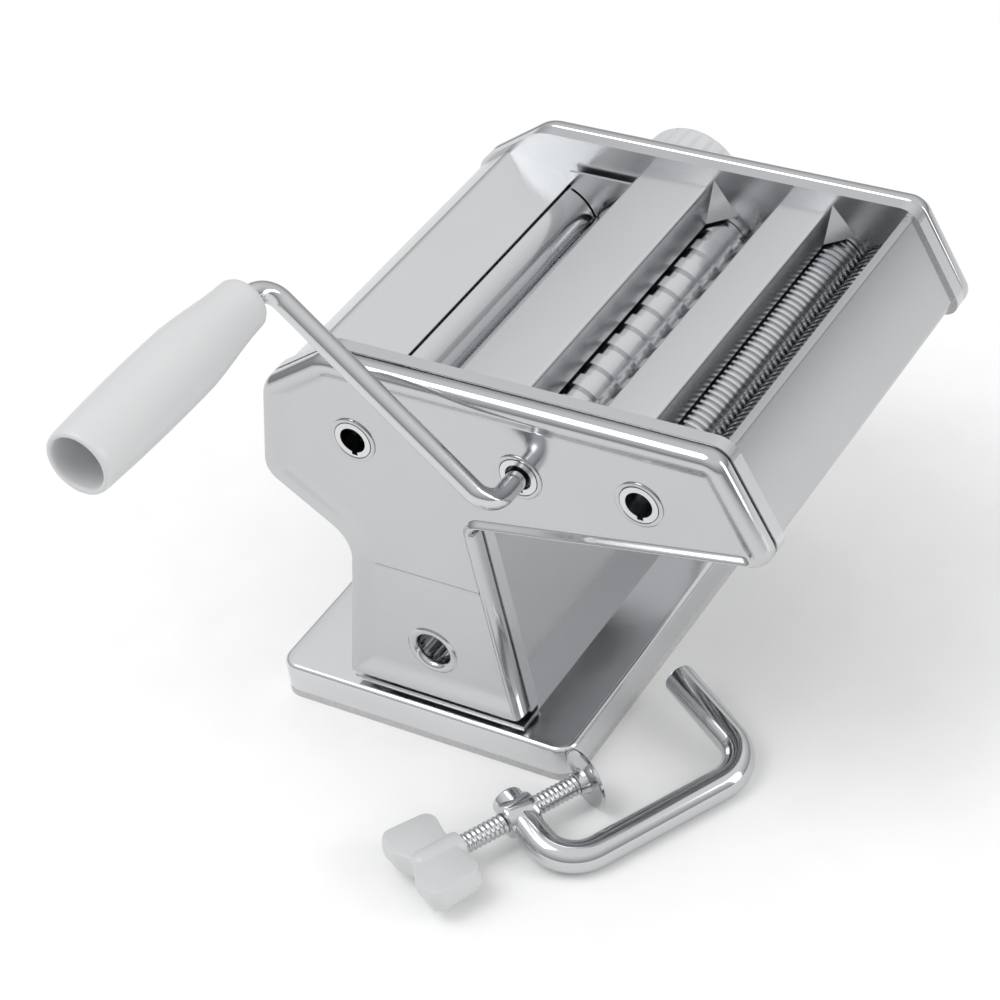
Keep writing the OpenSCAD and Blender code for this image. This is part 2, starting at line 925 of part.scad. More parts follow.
module adjustable_roller() {
    color([0.8, 0.81, 0.83])
        difference() {
            union() {
                smooth_body(adj_x);
                bar(1, adj_x, smooth_z, adj_journal_r, 0, gear_out);
                bar(-1, adj_x, smooth_z, adj_journal_r, 0, bracket_in + bracket_plate);
            }
            slab(-rim_out, rim_out)
                translate([adj_x, smooth_z])
                    circle(adj_bore_r);
        }
}

module adjustable_gear() {
    color([0.55, 0.56, 0.57])
        smooth_gear(adj_x, adj_journal_r, mate_turn(smooth_teeth));
}

// A cutter's outline: discs of one noodle's width on a core, the discs at phase + k times the pitch
function cutter_profile(noodle, phase) =
    let (pitch = 2 * noodle, w = noodle / 2 - disc_play, count = ceil(half / pitch) + 1)
    concat(
        [[0, -roller_end], [core_r, -roller_end]],
        [for (k = [-count:count])
            let (y = phase + k * pitch, a = max(y - w, -roller_end), b = min(y + w, roller_end))
            if (b - a > disc_play)
                each [[core_r, a], [cutter_r, a], [cutter_r, b], [core_r, b]]],
        [[core_r, roller_end], [0, roller_end]]);
function clean(points) = [
    for (i = [0:len(points) - 1])
        if (i == 0 || norm(points[i] - points[i - 1]) > 0) points[i]
];

module cutter(x, z, noodle, phase, near_end) {
    color([0.74, 0.75, 0.76])
        difference() {
            union() {
                turned(x, z)
                    polygon(clean(cutter_profile(noodle, phase)));
                bar(1, x, z, journal_r, half - noodle, journal_far);
                bar(-1, x, z, journal_r, half - noodle, near_end);
            }
            if (near_end == socket_end)
                crank_socket(x, z);
        }
}

module wide_drive_cutter() {
    cutter(wide_x, wide_z, wide_noodle, 0, socket_end);
}

module wide_mate_cutter() {
    cutter(wide_mate_x, wide_z, wide_noodle, wide_noodle, journal_near);
}

module narrow_drive_cutter() {
    cutter(narrow_x, narrow_z, narrow_noodle, 0, socket_end);
}

module narrow_mate_cutter() {
    cutter(narrow_mate_x, narrow_z, narrow_noodle, narrow_noodle, journal_near);
}

module wide_drive_gear() {
    color([0.55, 0.56, 0.57])
        cutter_gear(wide_x, wide_z, 0);
}

module wide_mate_gear() {
    color([0.55, 0.56, 0.57])
        cutter_gear(wide_mate_x, wide_z, mate_turn(cutter_teeth));
}

module narrow_drive_gear() {
    color([0.55, 0.56, 0.57])
        cutter_gear(narrow_x, narrow_z, 0);
}

module narrow_mate_gear() {
    color([0.55, 0.56, 0.57])
        cutter_gear(narrow_mate_x, narrow_z, mate_turn(cutter_teeth));
}

// Brackets that carry the adjustable roller and slide in the frame plates' windows
pillar_in = smooth_pitch_r + smooth_reach + 2 * layer_gap;

module bracket(s) {
    color([0.68, 0.69, 0.7])
        difference() {
            union() {
                slab_side(s, half + slide_play, bracket_in)
                    translate([adj_x, smooth_z])
                        square(2 * [boss_w, boss_h], center = true);
                slab_side(s, bracket_in, bracket_in + bracket_plate)
                    translate([adj_x, smooth_z])
                        square(2 * [bracket_w, pillar_in + pillar_t], center = true);
                for (up = [-1, 1])
                    slab_side(s, bracket_in, yoke_out)
                        translate([adj_x - pillar_w, smooth_z + up * (pillar_in + pillar_t / 2) - pillar_t / 2])
                            square([2 * pillar_w, pillar_t]);
                slab_side(s, yoke_in, yoke_out)
                    translate([adj_x, smooth_z])
                        difference() {
                            square(2 * [yoke_w, pillar_in + pillar_t], center = true);
                            square(
                                2 * [eccentric_r + yoke_play, eccentric_r + gap_throw + 2 * yoke_play],
                                center = true);
                        }
            }
            bar(s, adj_x, smooth_z, adj_journal_r + fit, half - over, bracket_in + bracket_plate + over);
        }
}

module near_bearing_bracket() {
    bracket(-1);
}

module far_bearing_bracket() {
    bracket(1);
}

// Gap shaft with its two eccentric discs
shaft_end_play = 0.3;
ring_t = 3;
ring_out = face_out + ring_t;
dial_in = ring_out + 2 * layer_gap;
dial_out = dial_in + dial_len;
washer_t = 2;
washer_r = 7;
cap_t = 1.5;
washer_out = dial_out - cap_t - dial_pull / 4;
shaft_out = washer_out;
shaft_key = 2;
shaft_key_len = 6;
dial_floor = 5;

module gap_shaft() {
    color([0.62, 0.63, 0.64]) {
        slab(-face_in + shaft_end_play, shaft_out)
            translate([adj_x, smooth_z])
                circle(shaft_r);
        for (s = [-1, 1])
            slab_side(s, yoke_in, yoke_out)
                translate([adj_x, smooth_z + gap_throw])
                    circle(eccentric_r);
        slab(dial_in, dial_in + shaft_key_len)
            translate([adj_x - shaft_key / 2, smooth_z])
                square([shaft_key, shaft_r + shaft_key / 2]);
    }
}

// Bearing of the shaft's near end, on the inside of the near cover
bearing_r = 9;

module near_shaft_bearing() {
    color([0.72, 0.6, 0.35])
        slab(-face_in, -yoke_out - layer_gap / 2)
            translate([adj_x, smooth_z])
                difference() {
                    circle(bearing_r);
                    circle(shaft_r + fit);
                }
}

// Index ring on the far cover, with the slot in which the dial's pin moves
index_r = 15;
pin_r = 1.5;
pin_play = 0.15;
notch_over = 0.15;
notch_r = pin_r + pin_play + notch_over;
ring_r = 22;
dial_step = 2 * dial_swing / (dial_settings - 1);

module index_ring() {
    color([0.84, 0.84, 0.83])
        difference() {
            union() {
                slab(face_out, ring_out)
                    translate([adj_x, smooth_z])
                        circle(ring_r);
                slab(face_in - layer_gap / 3, face_out)
                    translate([adj_x, smooth_z])
                        circle(shaft_hole_r - pin_play);
            }
            slab(face_in - over, ring_out + over)
                translate([adj_x, smooth_z])
                    circle(shaft_r + fit);
            slab(face_out, ring_out + over)
                translate([adj_x, smooth_z]) {
                    intersection() {
                        difference() {
                            circle(index_r + pin_r + pin_play);
                            circle(index_r - pin_r - pin_play);
                        }
                        sector(2 * index_r, 90 - dial_swing, 90 + dial_swing);
                    }
                    for (k = [0:dial_settings - 1])
                        rotate(90 - dial_swing + k * dial_step)
                            translate([index_r, 0])
                                circle(notch_r);
                }
        }
}

// Gap dial: a hollow knob on the shaft's keyed end, held in by a spring
dial_r = dial_d / 2;
dial_grip = 1;
dial_flutes = 24;
flute_r = 1.3;
flange_band = 6;
cavity_r = 8.5;
spring_wire = 1;
spring_play = 1.2;

module dial_washer() {
    color([0.6, 0.61, 0.62])
        slab(washer_out - washer_t, washer_out)
            translate([adj_x, smooth_z])
                difference() {
                    circle(washer_r);
                    circle(shaft_r);
                }
}

module dial_knob() {
    color([0.88, 0.89, 0.9])
        translate([adj_x, 0, smooth_z])
            difference() {
                union() {
                    slab(dial_in, dial_in + flange_band)
                        circle(dial_r);
                    slab(dial_in + flange_band, dial_out - cap_t)
                        circle(dial_r - dial_grip);
                }
                slab(dial_in - over, dial_out + over)
                    circle(shaft_r + fit);
                slab(dial_in + dial_floor, dial_out + over)
                    circle(cavity_r);
                slab(dial_in - over, dial_in + dial_floor + over)
                    translate([-shaft_key / 2 - fit, 0])
                        square([shaft_key + 2 * fit, shaft_r + shaft_key / 2 + fit]);
                slab(dial_in - over, dial_in + dial_floor)
                    translate([0, index_r])
                        circle(pin_r);
                for (k = [0:dial_flutes - 1])
                    slab(dial_in + flange_band, dial_out)
                        rotate(k * 360 / dial_flutes)
                            translate([dial_r - dial_grip, 0])
                                circle(flute_r);
            }
}

module dial_cap() {
    color([0.88, 0.89, 0.9])
        slab(dial_out - cap_t, dial_out)
            translate([adj_x, smooth_z])
                circle(dial_r - 2 * dial_grip);
}

module dial_pin() {
    color([0.6, 0.61, 0.62])
        slab(face_out + layer_gap, dial_in + dial_floor)
            translate([adj_x, smooth_z + index_r])
                circle(pin_r);
}

module dial_spring() {
    color([0.5, 0.5, 0.5])
        slab(dial_in + dial_floor + dial_pull + layer_gap, washer_out - washer_t)
            translate([adj_x, smooth_z])
                difference() {
                    circle(shaft_r + spring_play + spring_wire);
                    circle(shaft_r + spring_play);
                }
}

// Crank: a plug with a key, an arm and a spindle, bent from one rod
crank_r = crank_d / 2;
plug_play = 0.08;
plug_r = socket_r - plug_play;
plug_recess = 3;
arm_y = -(rim_out + crank_reach);
bend_r = crank_bend + crank_r;
plug_gap = 1;
plug_in = socket_end - socket_depth + plug_gap;
plug_out = socket_end - plug_recess;
lug_len = 14;
spindle_head = 2;
spindle_head_r = 5.5;
head_play = 0.4;
grip_gap = 3;
grip_in = bend_r + grip_gap;
grip_floor = 26;
grip_play = 0.08;
spindle_len = grip_in + grip_len - grip_floor + head_play;
crank_tip = [wide_x, wide_z] + crank_len * [cos(crank_angle), sin(crank_angle)];

// Draws in the crank's own plane: X along the arm from the hub, and Y along the machine
module crank_frame() {
    translate([wide_x, 0, wide_z])
        rotate([0, -crank_angle, 0])
            children();
}

module rod_y(x, y0, y1, r) {
    translate([x, y1, 0])
        rotate([90, 0, 0])
            cylinder(h = y1 - y0, r = r);
}

module crank_rod() {
    color([0.72, 0.73, 0.74]) {
        slab(-plug_in - lug_len, -plug_in)
            translate([wide_x - key_w / 2 + 2 * plug_play, wide_z - socket_r - key_out + 2 * plug_play])
                square([key_w - 4 * plug_play, socket_r]);
        crank_frame() {
            rod_y(0, -plug_out, -plug_in, plug_r);
            rod_y(0, arm_y + bend_r, -plug_out, crank_r);
            translate([bend_r, arm_y + bend_r, 0])
                rotate([0, 0, 180])
                    rotate_extrude(angle = 90)
                        translate([bend_r, 0])
                            circle(crank_r);
            translate([bend_r, arm_y, 0])
                rotate([0, 90, 0])
                    cylinder(h = crank_len - 2 * bend_r, r = crank_r);
            translate([crank_len - bend_r, arm_y - bend_r, 0])
                rotate_extrude(angle = 90)
                    translate([bend_r, 0])
                        circle(crank_r);
            rod_y(crank_len, arm_y - spindle_len, arm_y - bend_r, crank_r);
            rod_y(crank_len, arm_y - spindle_len - spindle_head, arm_y - spindle_len, spindle_head_r);
        }
    }
}

// Hand grip, turned: narrow at the rod, widest past the middle, and hollow at its open end
grip_r = grip_d / 2;
grip_neck_share = 0.76;
grip_neck_end_share = 0.1;
grip_swell_share = 0.3;
grip_swell_r_share = 0.92;
grip_belly_share = 0.55;
grip_end_share = 0.95;
grip_mouth_share = 0.74;
grip_lip = 2;

module grip_shape() {
    neck = grip_r * grip_neck_share;
    mouth = grip_r * grip_mouth_share;
    bore = crank_r + grip_play;
    pocket = spindle_head_r + head_play;
    polygon([
        [bore, 0], [neck - grip_lip, 0], [neck, grip_lip], [neck, grip_len * grip_neck_end_share],
        [grip_r * grip_swell_r_share, grip_len * grip_swell_share],
        [grip_r, grip_len * grip_belly_share], [grip_r * grip_end_share, grip_len - grip_lip],
        [grip_r * grip_end_share - grip_lip / 2, grip_len], [mouth, grip_len],
        [mouth, grip_len - grip_floor + 2 * grip_lip + spindle_head],
        [pocket, grip_len - grip_floor + 2 * grip_lip + spindle_head],
        [pocket, grip_len - grip_floor], [bore, grip_len - grip_floor]
    ]);
}

module crank_grip() {
    color([0.9, 0.91, 0.92])
        translate([crank_tip[0], arm_y - grip_in, crank_tip[1]])
            rotate([90, 0, 0])
                rotate_extrude()
                    grip_shape();
}

plug_t = 2;

module grip_plug() {
    floor_y = arm_y - grip_in - grip_len + grip_floor - 2 * grip_lip - spindle_head;
    color([0.85, 0.86, 0.87])
        translate([crank_tip[0], floor_y, crank_tip[1]])
            rotate([90, 0, 0])
                cylinder(h = plug_t, r = grip_r * grip_mouth_share);
}

// Clamp, lying beside the machine on its bent back and the rim of its pad
clamp_r = clamp_d / 2;
screw_rod_r = screw_d / 2;
screw_axis_z = pad_d / 2;
clamp_turn = 62.5;
clamp_place = [76, -95];
clamp_lift = asin((screw_axis_z - clamp_r) / screw_arm);
eye_r = 7.7;
eye_half = 6.6;
arm_tail = 9;
back_r = clamp_bend + clamp_r;
pad_t = 1.6;
pad_hub_r = 5;
pad_hub = 4;
tip_r = 2.5;
tip_play = 0.06;

// Draws in the clamp's plane: X along the screw from the pad to the back's far end, Y out to the back
module clamp_space() {
    translate([clamp_place[0], clamp_place[1], screw_axis_z])
        rotate([0, 0, clamp_turn])
            rotate([clamp_lift, 0, 0])
                children();
}

module clamp_level() {
    translate([clamp_place[0], clamp_place[1], screw_axis_z])
        rotate([0, 0, clamp_turn])
            children();
}

module rod_x(x0, x1, r) {
    translate([x0, 0, 0])
        rotate([0, 90, 0])
            cylinder(h = x1 - x0, r = r);
}

eye_x = -pad_out;
free_x = eye_x + clamp_span;

module quarter_bend(x, from) {
    translate([x, back_r - screw_arm, 0])
        rotate([0, 0, from])
            rotate_extrude(angle = 90)
                translate([back_r, 0])
                    circle(clamp_r);
}

module clamp_frame() {
    color([0.72, 0.73, 0.74])
        clamp_space()
            difference() {
                union() {
                    translate([eye_x, arm_tail, 0])
                        rotate([90, 0, 0])
                            cylinder(h = arm_tail + screw_arm - back_r, r = clamp_r);
                    rod_x(eye_x - eye_half, eye_x + eye_half, eye_r);
                    quarter_bend(eye_x + back_r, 180);
                    translate([0, -screw_arm, 0])
                        rod_x(eye_x + back_r, free_x - back_r, clamp_r);
                    quarter_bend(free_x - back_r, 270);
                    translate([free_x, clamp_arm - screw_arm, 0])
                        rotate([90, 0, 0])
                            cylinder(h = clamp_arm - back_r, r = clamp_r);
                }
                rod_x(eye_x - 2 * eye_r, eye_x + 2 * eye_r, screw_rod_r + fit);
            }
}

thread_deep = 0.5;
thread_land_share = 0.45;

// Screw: rings of thread at the pitch, and a round tip in the pad's hub
module clamp_screw() {
    root = screw_rod_r - thread_deep;
    start = pad_hub + 2 * tip_play;
    turns = floor((screw_len - start) / screw_pitch);
    color([0.6, 0.61, 0.62])
        clamp_level()
            rotate([0, -90, 0])
                rotate_extrude()
                    polygon(concat(
                        [[0, tip_play], [tip_r, tip_play], [tip_r, start]],
                        [for (k = [0:turns - 1])
                            each [
                                [root, start + k * screw_pitch],
                                [screw_rod_r, start + (k + (1 - thread_land_share) / 2) * screw_pitch],
                                [screw_rod_r, start + (k + (1 + thread_land_share) / 2) * screw_pitch]]],
                        [[root, start + turns * screw_pitch], [root, screw_len], [0, screw_len]]));
}

wing_hub_r = 6;
wing_len = 24;
wing_seat = 14;
wing_waist_share = 0.34;
wing_edge_share = 0.92;
wing_side_share = 0.9;
wing_dip_share = 0.15;
wing_soft = 3;

module wing_outline() {
    w = wing_w / 2;
    waist = w * wing_waist_share;
    edge = w * wing_edge_share;
    side = wing_len * wing_side_share;
    polygon(rounded([
        [0, -waist], [0, -w], [wing_len, -edge], [side, -waist],
        [side, waist], [wing_len, edge], [0, w], [0, waist], [wing_len * wing_dip_share, 0]
    ], same(wing_soft, 9)));
}

module wing_knob() {
    end = -screw_len - wing_len + wing_seat;
    color([0.9, 0.91, 0.92])
        clamp_level()
            difference() {
                union() {
                    translate([end, 0, -wing_t / 2])
                        linear_extrude(wing_t)
                            wing_outline();
                    rod_x(end + wing_len * wing_dip_share, end + wing_len, wing_hub_r);
                }
                rod_x(-screw_len, -screw_len + wing_seat + over, screw_rod_r);
            }
}

module clamp_pad() {
    color([0.7, 0.71, 0.72])
        clamp_level()
            difference() {
                union() {
                    rod_x(-tip_play, pad_t, pad_d / 2);
                    rod_x(-pad_hub, 0, pad_hub_r);
                }
                rod_x(-pad_hub - over, 0, tip_r + tip_play);
            }
}

base_plate();
base_mat();
near_frame_plate();
far_frame_plate();
near_outer_cover();
far_outer_cover();
front_pedestal_panel();
rear_cover();
mid_cover();
second_cover();
front_apron();
near_cheeks();
far_cheeks();
tie_rods();
tie_nuts();
near_bushes();
far_bushes();
socket_rings();
smooth_scrapers();
wide_combs();
narrow_combs();
clamp_sleeve();
index_ring();
near_shaft_bearing();
foot_screws();
fixed_smooth_roller();
fixed_smooth_gear();
adjustable_roller();
adjustable_gear();
near_bearing_bracket();
far_bearing_bracket();
gap_shaft();
dial_washer();
dial_knob();
dial_cap();
dial_pin();
dial_spring();
wide_drive_cutter();
wide_drive_gear();
wide_mate_cutter();
wide_mate_gear();
narrow_drive_cutter();
narrow_drive_gear();
narrow_mate_cutter();
narrow_mate_gear();
crank_rod();
crank_grip();
grip_plug();
clamp_frame();
clamp_screw();
wing_knob();
clamp_pad();
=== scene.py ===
import json
import math

import bpy
from mathutils import Matrix, Quaternion, Vector
from mathutils.geometry import tessellate_polygon

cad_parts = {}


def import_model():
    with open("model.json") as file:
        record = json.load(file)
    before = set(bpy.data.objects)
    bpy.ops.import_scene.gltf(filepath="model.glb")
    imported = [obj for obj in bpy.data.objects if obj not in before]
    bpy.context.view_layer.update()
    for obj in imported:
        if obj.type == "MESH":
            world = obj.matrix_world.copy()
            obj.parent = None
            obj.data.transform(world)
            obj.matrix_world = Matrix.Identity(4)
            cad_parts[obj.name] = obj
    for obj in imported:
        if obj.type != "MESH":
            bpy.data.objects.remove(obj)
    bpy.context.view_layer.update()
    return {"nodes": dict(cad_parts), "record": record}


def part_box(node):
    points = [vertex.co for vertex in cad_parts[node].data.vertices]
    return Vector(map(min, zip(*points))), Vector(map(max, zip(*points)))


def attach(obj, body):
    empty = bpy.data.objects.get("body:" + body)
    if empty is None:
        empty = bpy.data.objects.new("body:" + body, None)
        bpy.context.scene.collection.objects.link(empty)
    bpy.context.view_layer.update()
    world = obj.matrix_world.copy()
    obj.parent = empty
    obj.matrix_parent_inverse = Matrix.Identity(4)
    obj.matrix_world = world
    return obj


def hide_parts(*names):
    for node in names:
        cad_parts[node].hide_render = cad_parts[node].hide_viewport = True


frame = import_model()

MM = 0.001
SHARP = math.radians(32)


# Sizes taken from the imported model
def middle(node):
    low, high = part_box(node)
    return (low + high) / 2


def reach(node):
    low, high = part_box(node)
    return (high - low) / 2


smooth = middle("fixed_smooth_roller")
smooth_r = reach("fixed_smooth_roller").x
adjustable = middle("adjustable_roller")
wide = middle("wide_drive_cutter")
wide_mate = middle("wide_mate_cutter")
narrow = middle("narrow_drive_cutter")
narrow_mate = middle("narrow_mate_cutter")
cutter_r = reach("wide_drive_cutter").x
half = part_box("mid_cover")[1].y
cover_in, rim_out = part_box("far_outer_cover")[0].y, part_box("far_outer_cover")[1].y
cover_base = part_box("far_outer_cover")[0].z
cover_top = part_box("mid_cover")[1].z
plate_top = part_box("near_frame_plate")[1].z
base_low, base_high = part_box("base_plate")
base_top = base_high.z
clamp_hole = middle("clamp_sleeve")

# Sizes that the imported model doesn't state
sheet = 1.0 * MM
rim_height = 2.5 * MM
face_out = rim_out - rim_height
socket_hole_r = 8.4 * MM
dial_hole_r = 12 * MM
cover_edge = 0.9 * MM
base_corner_r = 8 * MM
inner_gap = 1.4 * MM
fold_r = 1.4 * MM
hopper_gap = 1.1 * MM


# Outlines in X and Z
def unit(v):
    return v.normalized()


def left_of(a, b):
    d = unit(b - a)
    return Vector((-d.y, d.x))


def cross(a, b):
    return a.x * b.y - a.y * b.x


def meet(p, n1, d1, n2, d2):
    """Where two lines through p meet after each is shifted along its normal."""
    return p + Vector((d1 * n2.y - d2 * n1.y, d2 * n1.x - d1 * n2.x)) / cross(n1, n2)


def inset(points, widths):
    """A closed outline with each side shifted to its left by its own width."""
    n = len(points)
    shifted = []
    for i in range(n):
        a, b, c = points[i - 1], points[i], points[(i + 1) % n]
        shifted.append(meet(b, left_of(a, b), widths[i - 1], left_of(b, c), widths[i]))
    return shifted


def turn_sign(a, b, c):
    return 1 if cross(b - a, c - b) > 0 else -1


def corner(a, b, c, r, steps):
    """The arc of radius r that rounds the corner at b."""
    u, v = unit(a - b), unit(c - b)
    wedge = u.angle(v)
    side = turn_sign(a, b, c)
    centre = b + unit(u + v) * r / math.sin(wedge / 2)
    start = b + u * r / math.tan(wedge / 2) - centre
    first = math.atan2(start.y, start.x)
    arc = []
    for k in range(steps + 1):
        t = first + side * (math.pi - wedge) * k / steps
        arc.append(centre + r * Vector((math.cos(t), math.sin(t))))
    return arc


def rounded(points, radii, steps=10):
    n = len(points)
    ring = []
    for i in range(n):
        ring += corner(points[i - 1], points[i], points[(i + 1) % n], radii[i], steps)
    return ring


def outline(points, radii, widths, least=0.3 * MM):
    """An inset outline with rounded corners that keep the same centres."""
    n = len(points)
    kept = []
    for i in range(n):
        side = turn_sign(points[i - 1], points[i], points[(i + 1) % n])
        kept.append(max(least, radii[i] - side * min(widths[i], widths[i - 1])))
    return rounded(inset(points, widths), kept)


def open_path(points, radii, steps=6):
    path = [points[0]]
    for i in range(1, len(points) - 1):
        path += corner(points[i - 1], points[i], points[i + 1], radii[i - 1], steps)
    path.append(points[-1])
    return path


def beside(path, d):
    """An open path shifted to its left by d."""
    straight = 1e-6
    shifted = [path[0] + d * left_of(path[0], path[1])]
    for i in range(1, len(path) - 1):
        n1, n2 = left_of(path[i - 1], path[i]), left_of(path[i], path[i + 1])
        if abs(cross(n1, n2)) < straight:
            shifted.append(path[i] + d * n1)
        else:
            shifted.append(meet(path[i], n1, d, n2, d))
    shifted.append(path[-1] + d * left_of(path[-2], path[-1]))
    return shifted


def at_height(a, b, z):
    """The point at height z on the line through a and b."""
    return a + (b - a) * ((z - a.y) / (b.y - a.y))


# The end plates' outline, anticlockwise from the pedestal's rear foot
side_points = [
    Vector((-33.5 * MM, base_top)), Vector((45 * MM, base_top)), Vector((34.8 * MM, 112.3 * MM)),
    Vector((narrow_mate.x + 29 * MM, narrow_mate.z - 12 * MM)),
    Vector((narrow_mate.x + 9.5 * MM, plate_top)), Vector((smooth.x - 7.6 * MM, plate_top)),
    Vector((smooth.x - smooth_r - 19.2 * MM, plate_top - 19 * MM)),
    Vector((smooth.x - smooth_r - 26.5 * MM, smooth.z - 24 * MM)), Vector((-20.5 * MM, 90 * MM)),
]
side_radii = [r * MM for r in (2, 2, 5, 6, 9, 16, 10, 9, 14)]
cover_points = [
    at_height(side_points[0], side_points[8], cover_base),
    at_height(side_points[1], side_points[2], cover_base),
] + side_points[2:]

# The covers' rim: its width on each side, and how far its slope runs past that width
rim_widths = [w * MM for w in (2, 5, 3, 9, 10, 9, 5, 2, 2)]
slope_past = [s * MM for s in (9, 0.9, 0.9, 0.9, 0.9, 0.9, 8, 9, 9)]
rim_round = 4.6 * MM
crest_share = 0.48


def even(width):
    """The same width on every side of the end plates' outline."""
    return [width] * len(side_points)


# Mesh builders
def smooth_by_angle(mesh, angle=SHARP):
    mesh.polygons.foreach_set("use_smooth", [True] * len(mesh.polygons))
    mesh.set_sharp_from_angle(angle=angle)


def piece(name, verts, faces, body, slot, replaces=(), angle=SHARP):
    mesh = bpy.data.meshes.new(name)
    mesh.from_pydata([tuple(v) for v in verts], [], faces)
    mesh.validate()
    mesh.update()
    smooth_by_angle(mesh, angle)
    obj = bpy.data.objects.new(name, mesh)
    bpy.context.scene.collection.objects.link(obj)
    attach(obj, body)
    obj.data.materials.append(materials[slot])
    if replaces:
        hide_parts(*replaces)
    return obj


def join_parts(parts):
    verts, faces = [], []
    for part_verts, part_faces in parts:
        base = len(verts)
        verts += part_verts
        faces += [tuple(base + i for i in f) for f in part_faces]
    return verts, faces


def moved(part, matrix):
    return [matrix @ Vector(v) for v in part[0]], part[1]


def mirrored(part):
    return [(v[0], -v[1], v[2]) for v in part[0]], [tuple(reversed(f)) for f in part[1]]


def bridge(a, b, count, closed=True):
    """Quads between two rings of count points that start at vertices a and b."""
    last = count if closed else count - 1
    return [(a + i, a + (i + 1) % count, b + (i + 1) % count, b + i) for i in range(last)]


def loft(rings, cap_start=True, cap_end=True):
    count = len(rings[0])
    verts = [p for ring in rings for p in ring]
    faces = []
    for k in range(len(rings) - 1):
        faces += bridge(k * count, (k + 1) * count, count)
    if cap_start:
        faces.append(tuple(reversed(range(count))))
    if cap_end:
        faces.append(tuple(range((len(rings) - 1) * count, len(rings) * count)))
    return verts, faces


def lathe(profile, steps=64, closed=False):
    """A profile of (radius, height) turned round Z. A closed profile comes back to its start."""
    rings = []
    for r, h in profile:
        ring = []
        for k in range(steps):
            t = 2 * math.pi * k / steps
            ring.append((r * math.cos(t), r * math.sin(t), h))
        rings.append(ring)
    if closed:
        rings.append(rings[0])
    return loft(rings, cap_start=not closed and profile[0][0] > 0,
                cap_end=not closed and profile[-1][0] > 0)


def along_y(x, y, z, sign=1):
    """Places a turned part with its height along Y, outwards at the end that sign names."""
    return Matrix.Translation((x, y, z)) @ Matrix.Rotation(-sign * math.pi / 2, 4, "X")


def in_mm(pairs):
    return [(a * MM, b * MM) for a, b in pairs]


def bent_sheet(path, thickness, y0, y1):
    """A sheet whose section follows a path of X and Z, from y0 to y1."""
    other = beside(path, thickness)
    section = path + other[::-1]
    rings = [[(p.x, y, p.y) for p in section] for y in (y0, y1)]
    count = len(section)
    verts = [p for ring in rings for p in ring]
    faces = bridge(0, count, count)
    for base in (0, count):
        last = base + count - 1
        strip = [(base + i, base + i + 1, last - 1 - i, last - i) for i in range(len(path) - 1)]
        faces += strip if base == 0 else [tuple(reversed(f)) for f in strip]
    return verts, faces


def fillet(points, r, steps=10):
    """A 3-D path with its corners rounded to radius r."""
    path = [points[0]]
    for i in range(1, len(points) - 1):
        b = points[i]
        u, v = (points[i - 1] - b).normalized(), (points[i + 1] - b).normalized()
        wedge = u.angle(v)
        centre = b + (u + v).normalized() * r / math.sin(wedge / 2)
        start = b + u * r / math.tan(wedge / 2) - centre
        axis = u.cross(v).normalized()
        for k in range(steps + 1):
            turn = Quaternion(axis, -(math.pi - wedge) * k / steps)
            path.append(centre + turn @ start)
    path.append(points[-1])
    return path


def sweep(path, radii, sides=24):
    """A round bar along a 3-D path; radii holds one radius, or one for each point."""
    if not isinstance(radii, (list, tuple)):
        radii = [radii] * len(path)
    tangents = []
    for i in range(len(path)):
        a, b = path[max(0, i - 1)], path[min(len(path) - 1, i + 1)]
        tangents.append((b - a).normalized())
    normal = tangents[0].orthogonal().normalized()
    rings = []
    for i, p in enumerate(path):
        normal = (normal - tangents[i] * normal.dot(tangents[i])).normalized()
        binormal = tangents[i].cross(normal)
        ring = []
        for k in range(sides):
            t = 2 * math.pi * k / sides
            ring.append(p + radii[i] * (math.cos(t) * normal + math.sin(t) * binormal))
        rings.append(ring)
    return loft(rings)


def rod_ends(path, r, soften):
    """Adds a softened edge at both ends of a bar's path."""
    a, b = (path[1] - path[0]).normalized(), (path[-2] - path[-1]).normalized()
    partway = 0.3 * soften
    middle_points = [path[0] + a * soften] + path[1:-1] + [path[-1] + b * soften]
    points = [path[0], path[0] + a * partway] + middle_points
    points += [path[-1] + b * partway, path[-1]]
    radii = [r - soften, r - partway] + [r] * len(middle_points) + [r - partway, r - soften]
    return points, radii


# Materials
def dress(obj, material):
    obj.data.materials.clear()
    obj.data.materials.append(material)


def new_material(name):
    mat = bpy.data.materials.new(name)
    mat.use_nodes = True
    nodes = mat.node_tree.nodes
    return mat, nodes, mat.node_tree.links, nodes["Principled BSDF"]


def noise_node(nodes, links, scale, detail, stretch=(1, 1, 1)):
    coords = nodes.new("ShaderNodeTexCoord")
    mapping = nodes.new("ShaderNodeMapping")
    mapping.inputs["Scale"].default_value = stretch
    noise = nodes.new("ShaderNodeTexNoise")
    noise.inputs["Scale"].default_value = scale
    noise.inputs["Detail"].default_value = detail
    links.new(coords.outputs["Object"], mapping.inputs["Vector"])
    links.new(mapping.outputs["Vector"], noise.inputs["Vector"])
    return noise


def mapped(nodes, links, source, low, high):
    ramp = nodes.new("ShaderNodeMapRange")
    ramp.inputs["To Min"].default_value = low
    ramp.inputs["To Max"].default_value = high
    links.new(source.outputs["Fac"], ramp.inputs["Value"])
    return ramp


def tinted(nodes, links, source, dark, light):
    ramp = nodes.new("ShaderNodeValToRGB")
    ramp.color_ramp.elements[0].position = 0.3
    ramp.color_ramp.elements[1].position = 0.7
    ramp.color_ramp.elements[0].color = (*dark, 1)
    ramp.color_ramp.elements[1].color = (*light, 1)
    links.new(source.outputs["Fac"], ramp.inputs["Fac"])
    return ramp


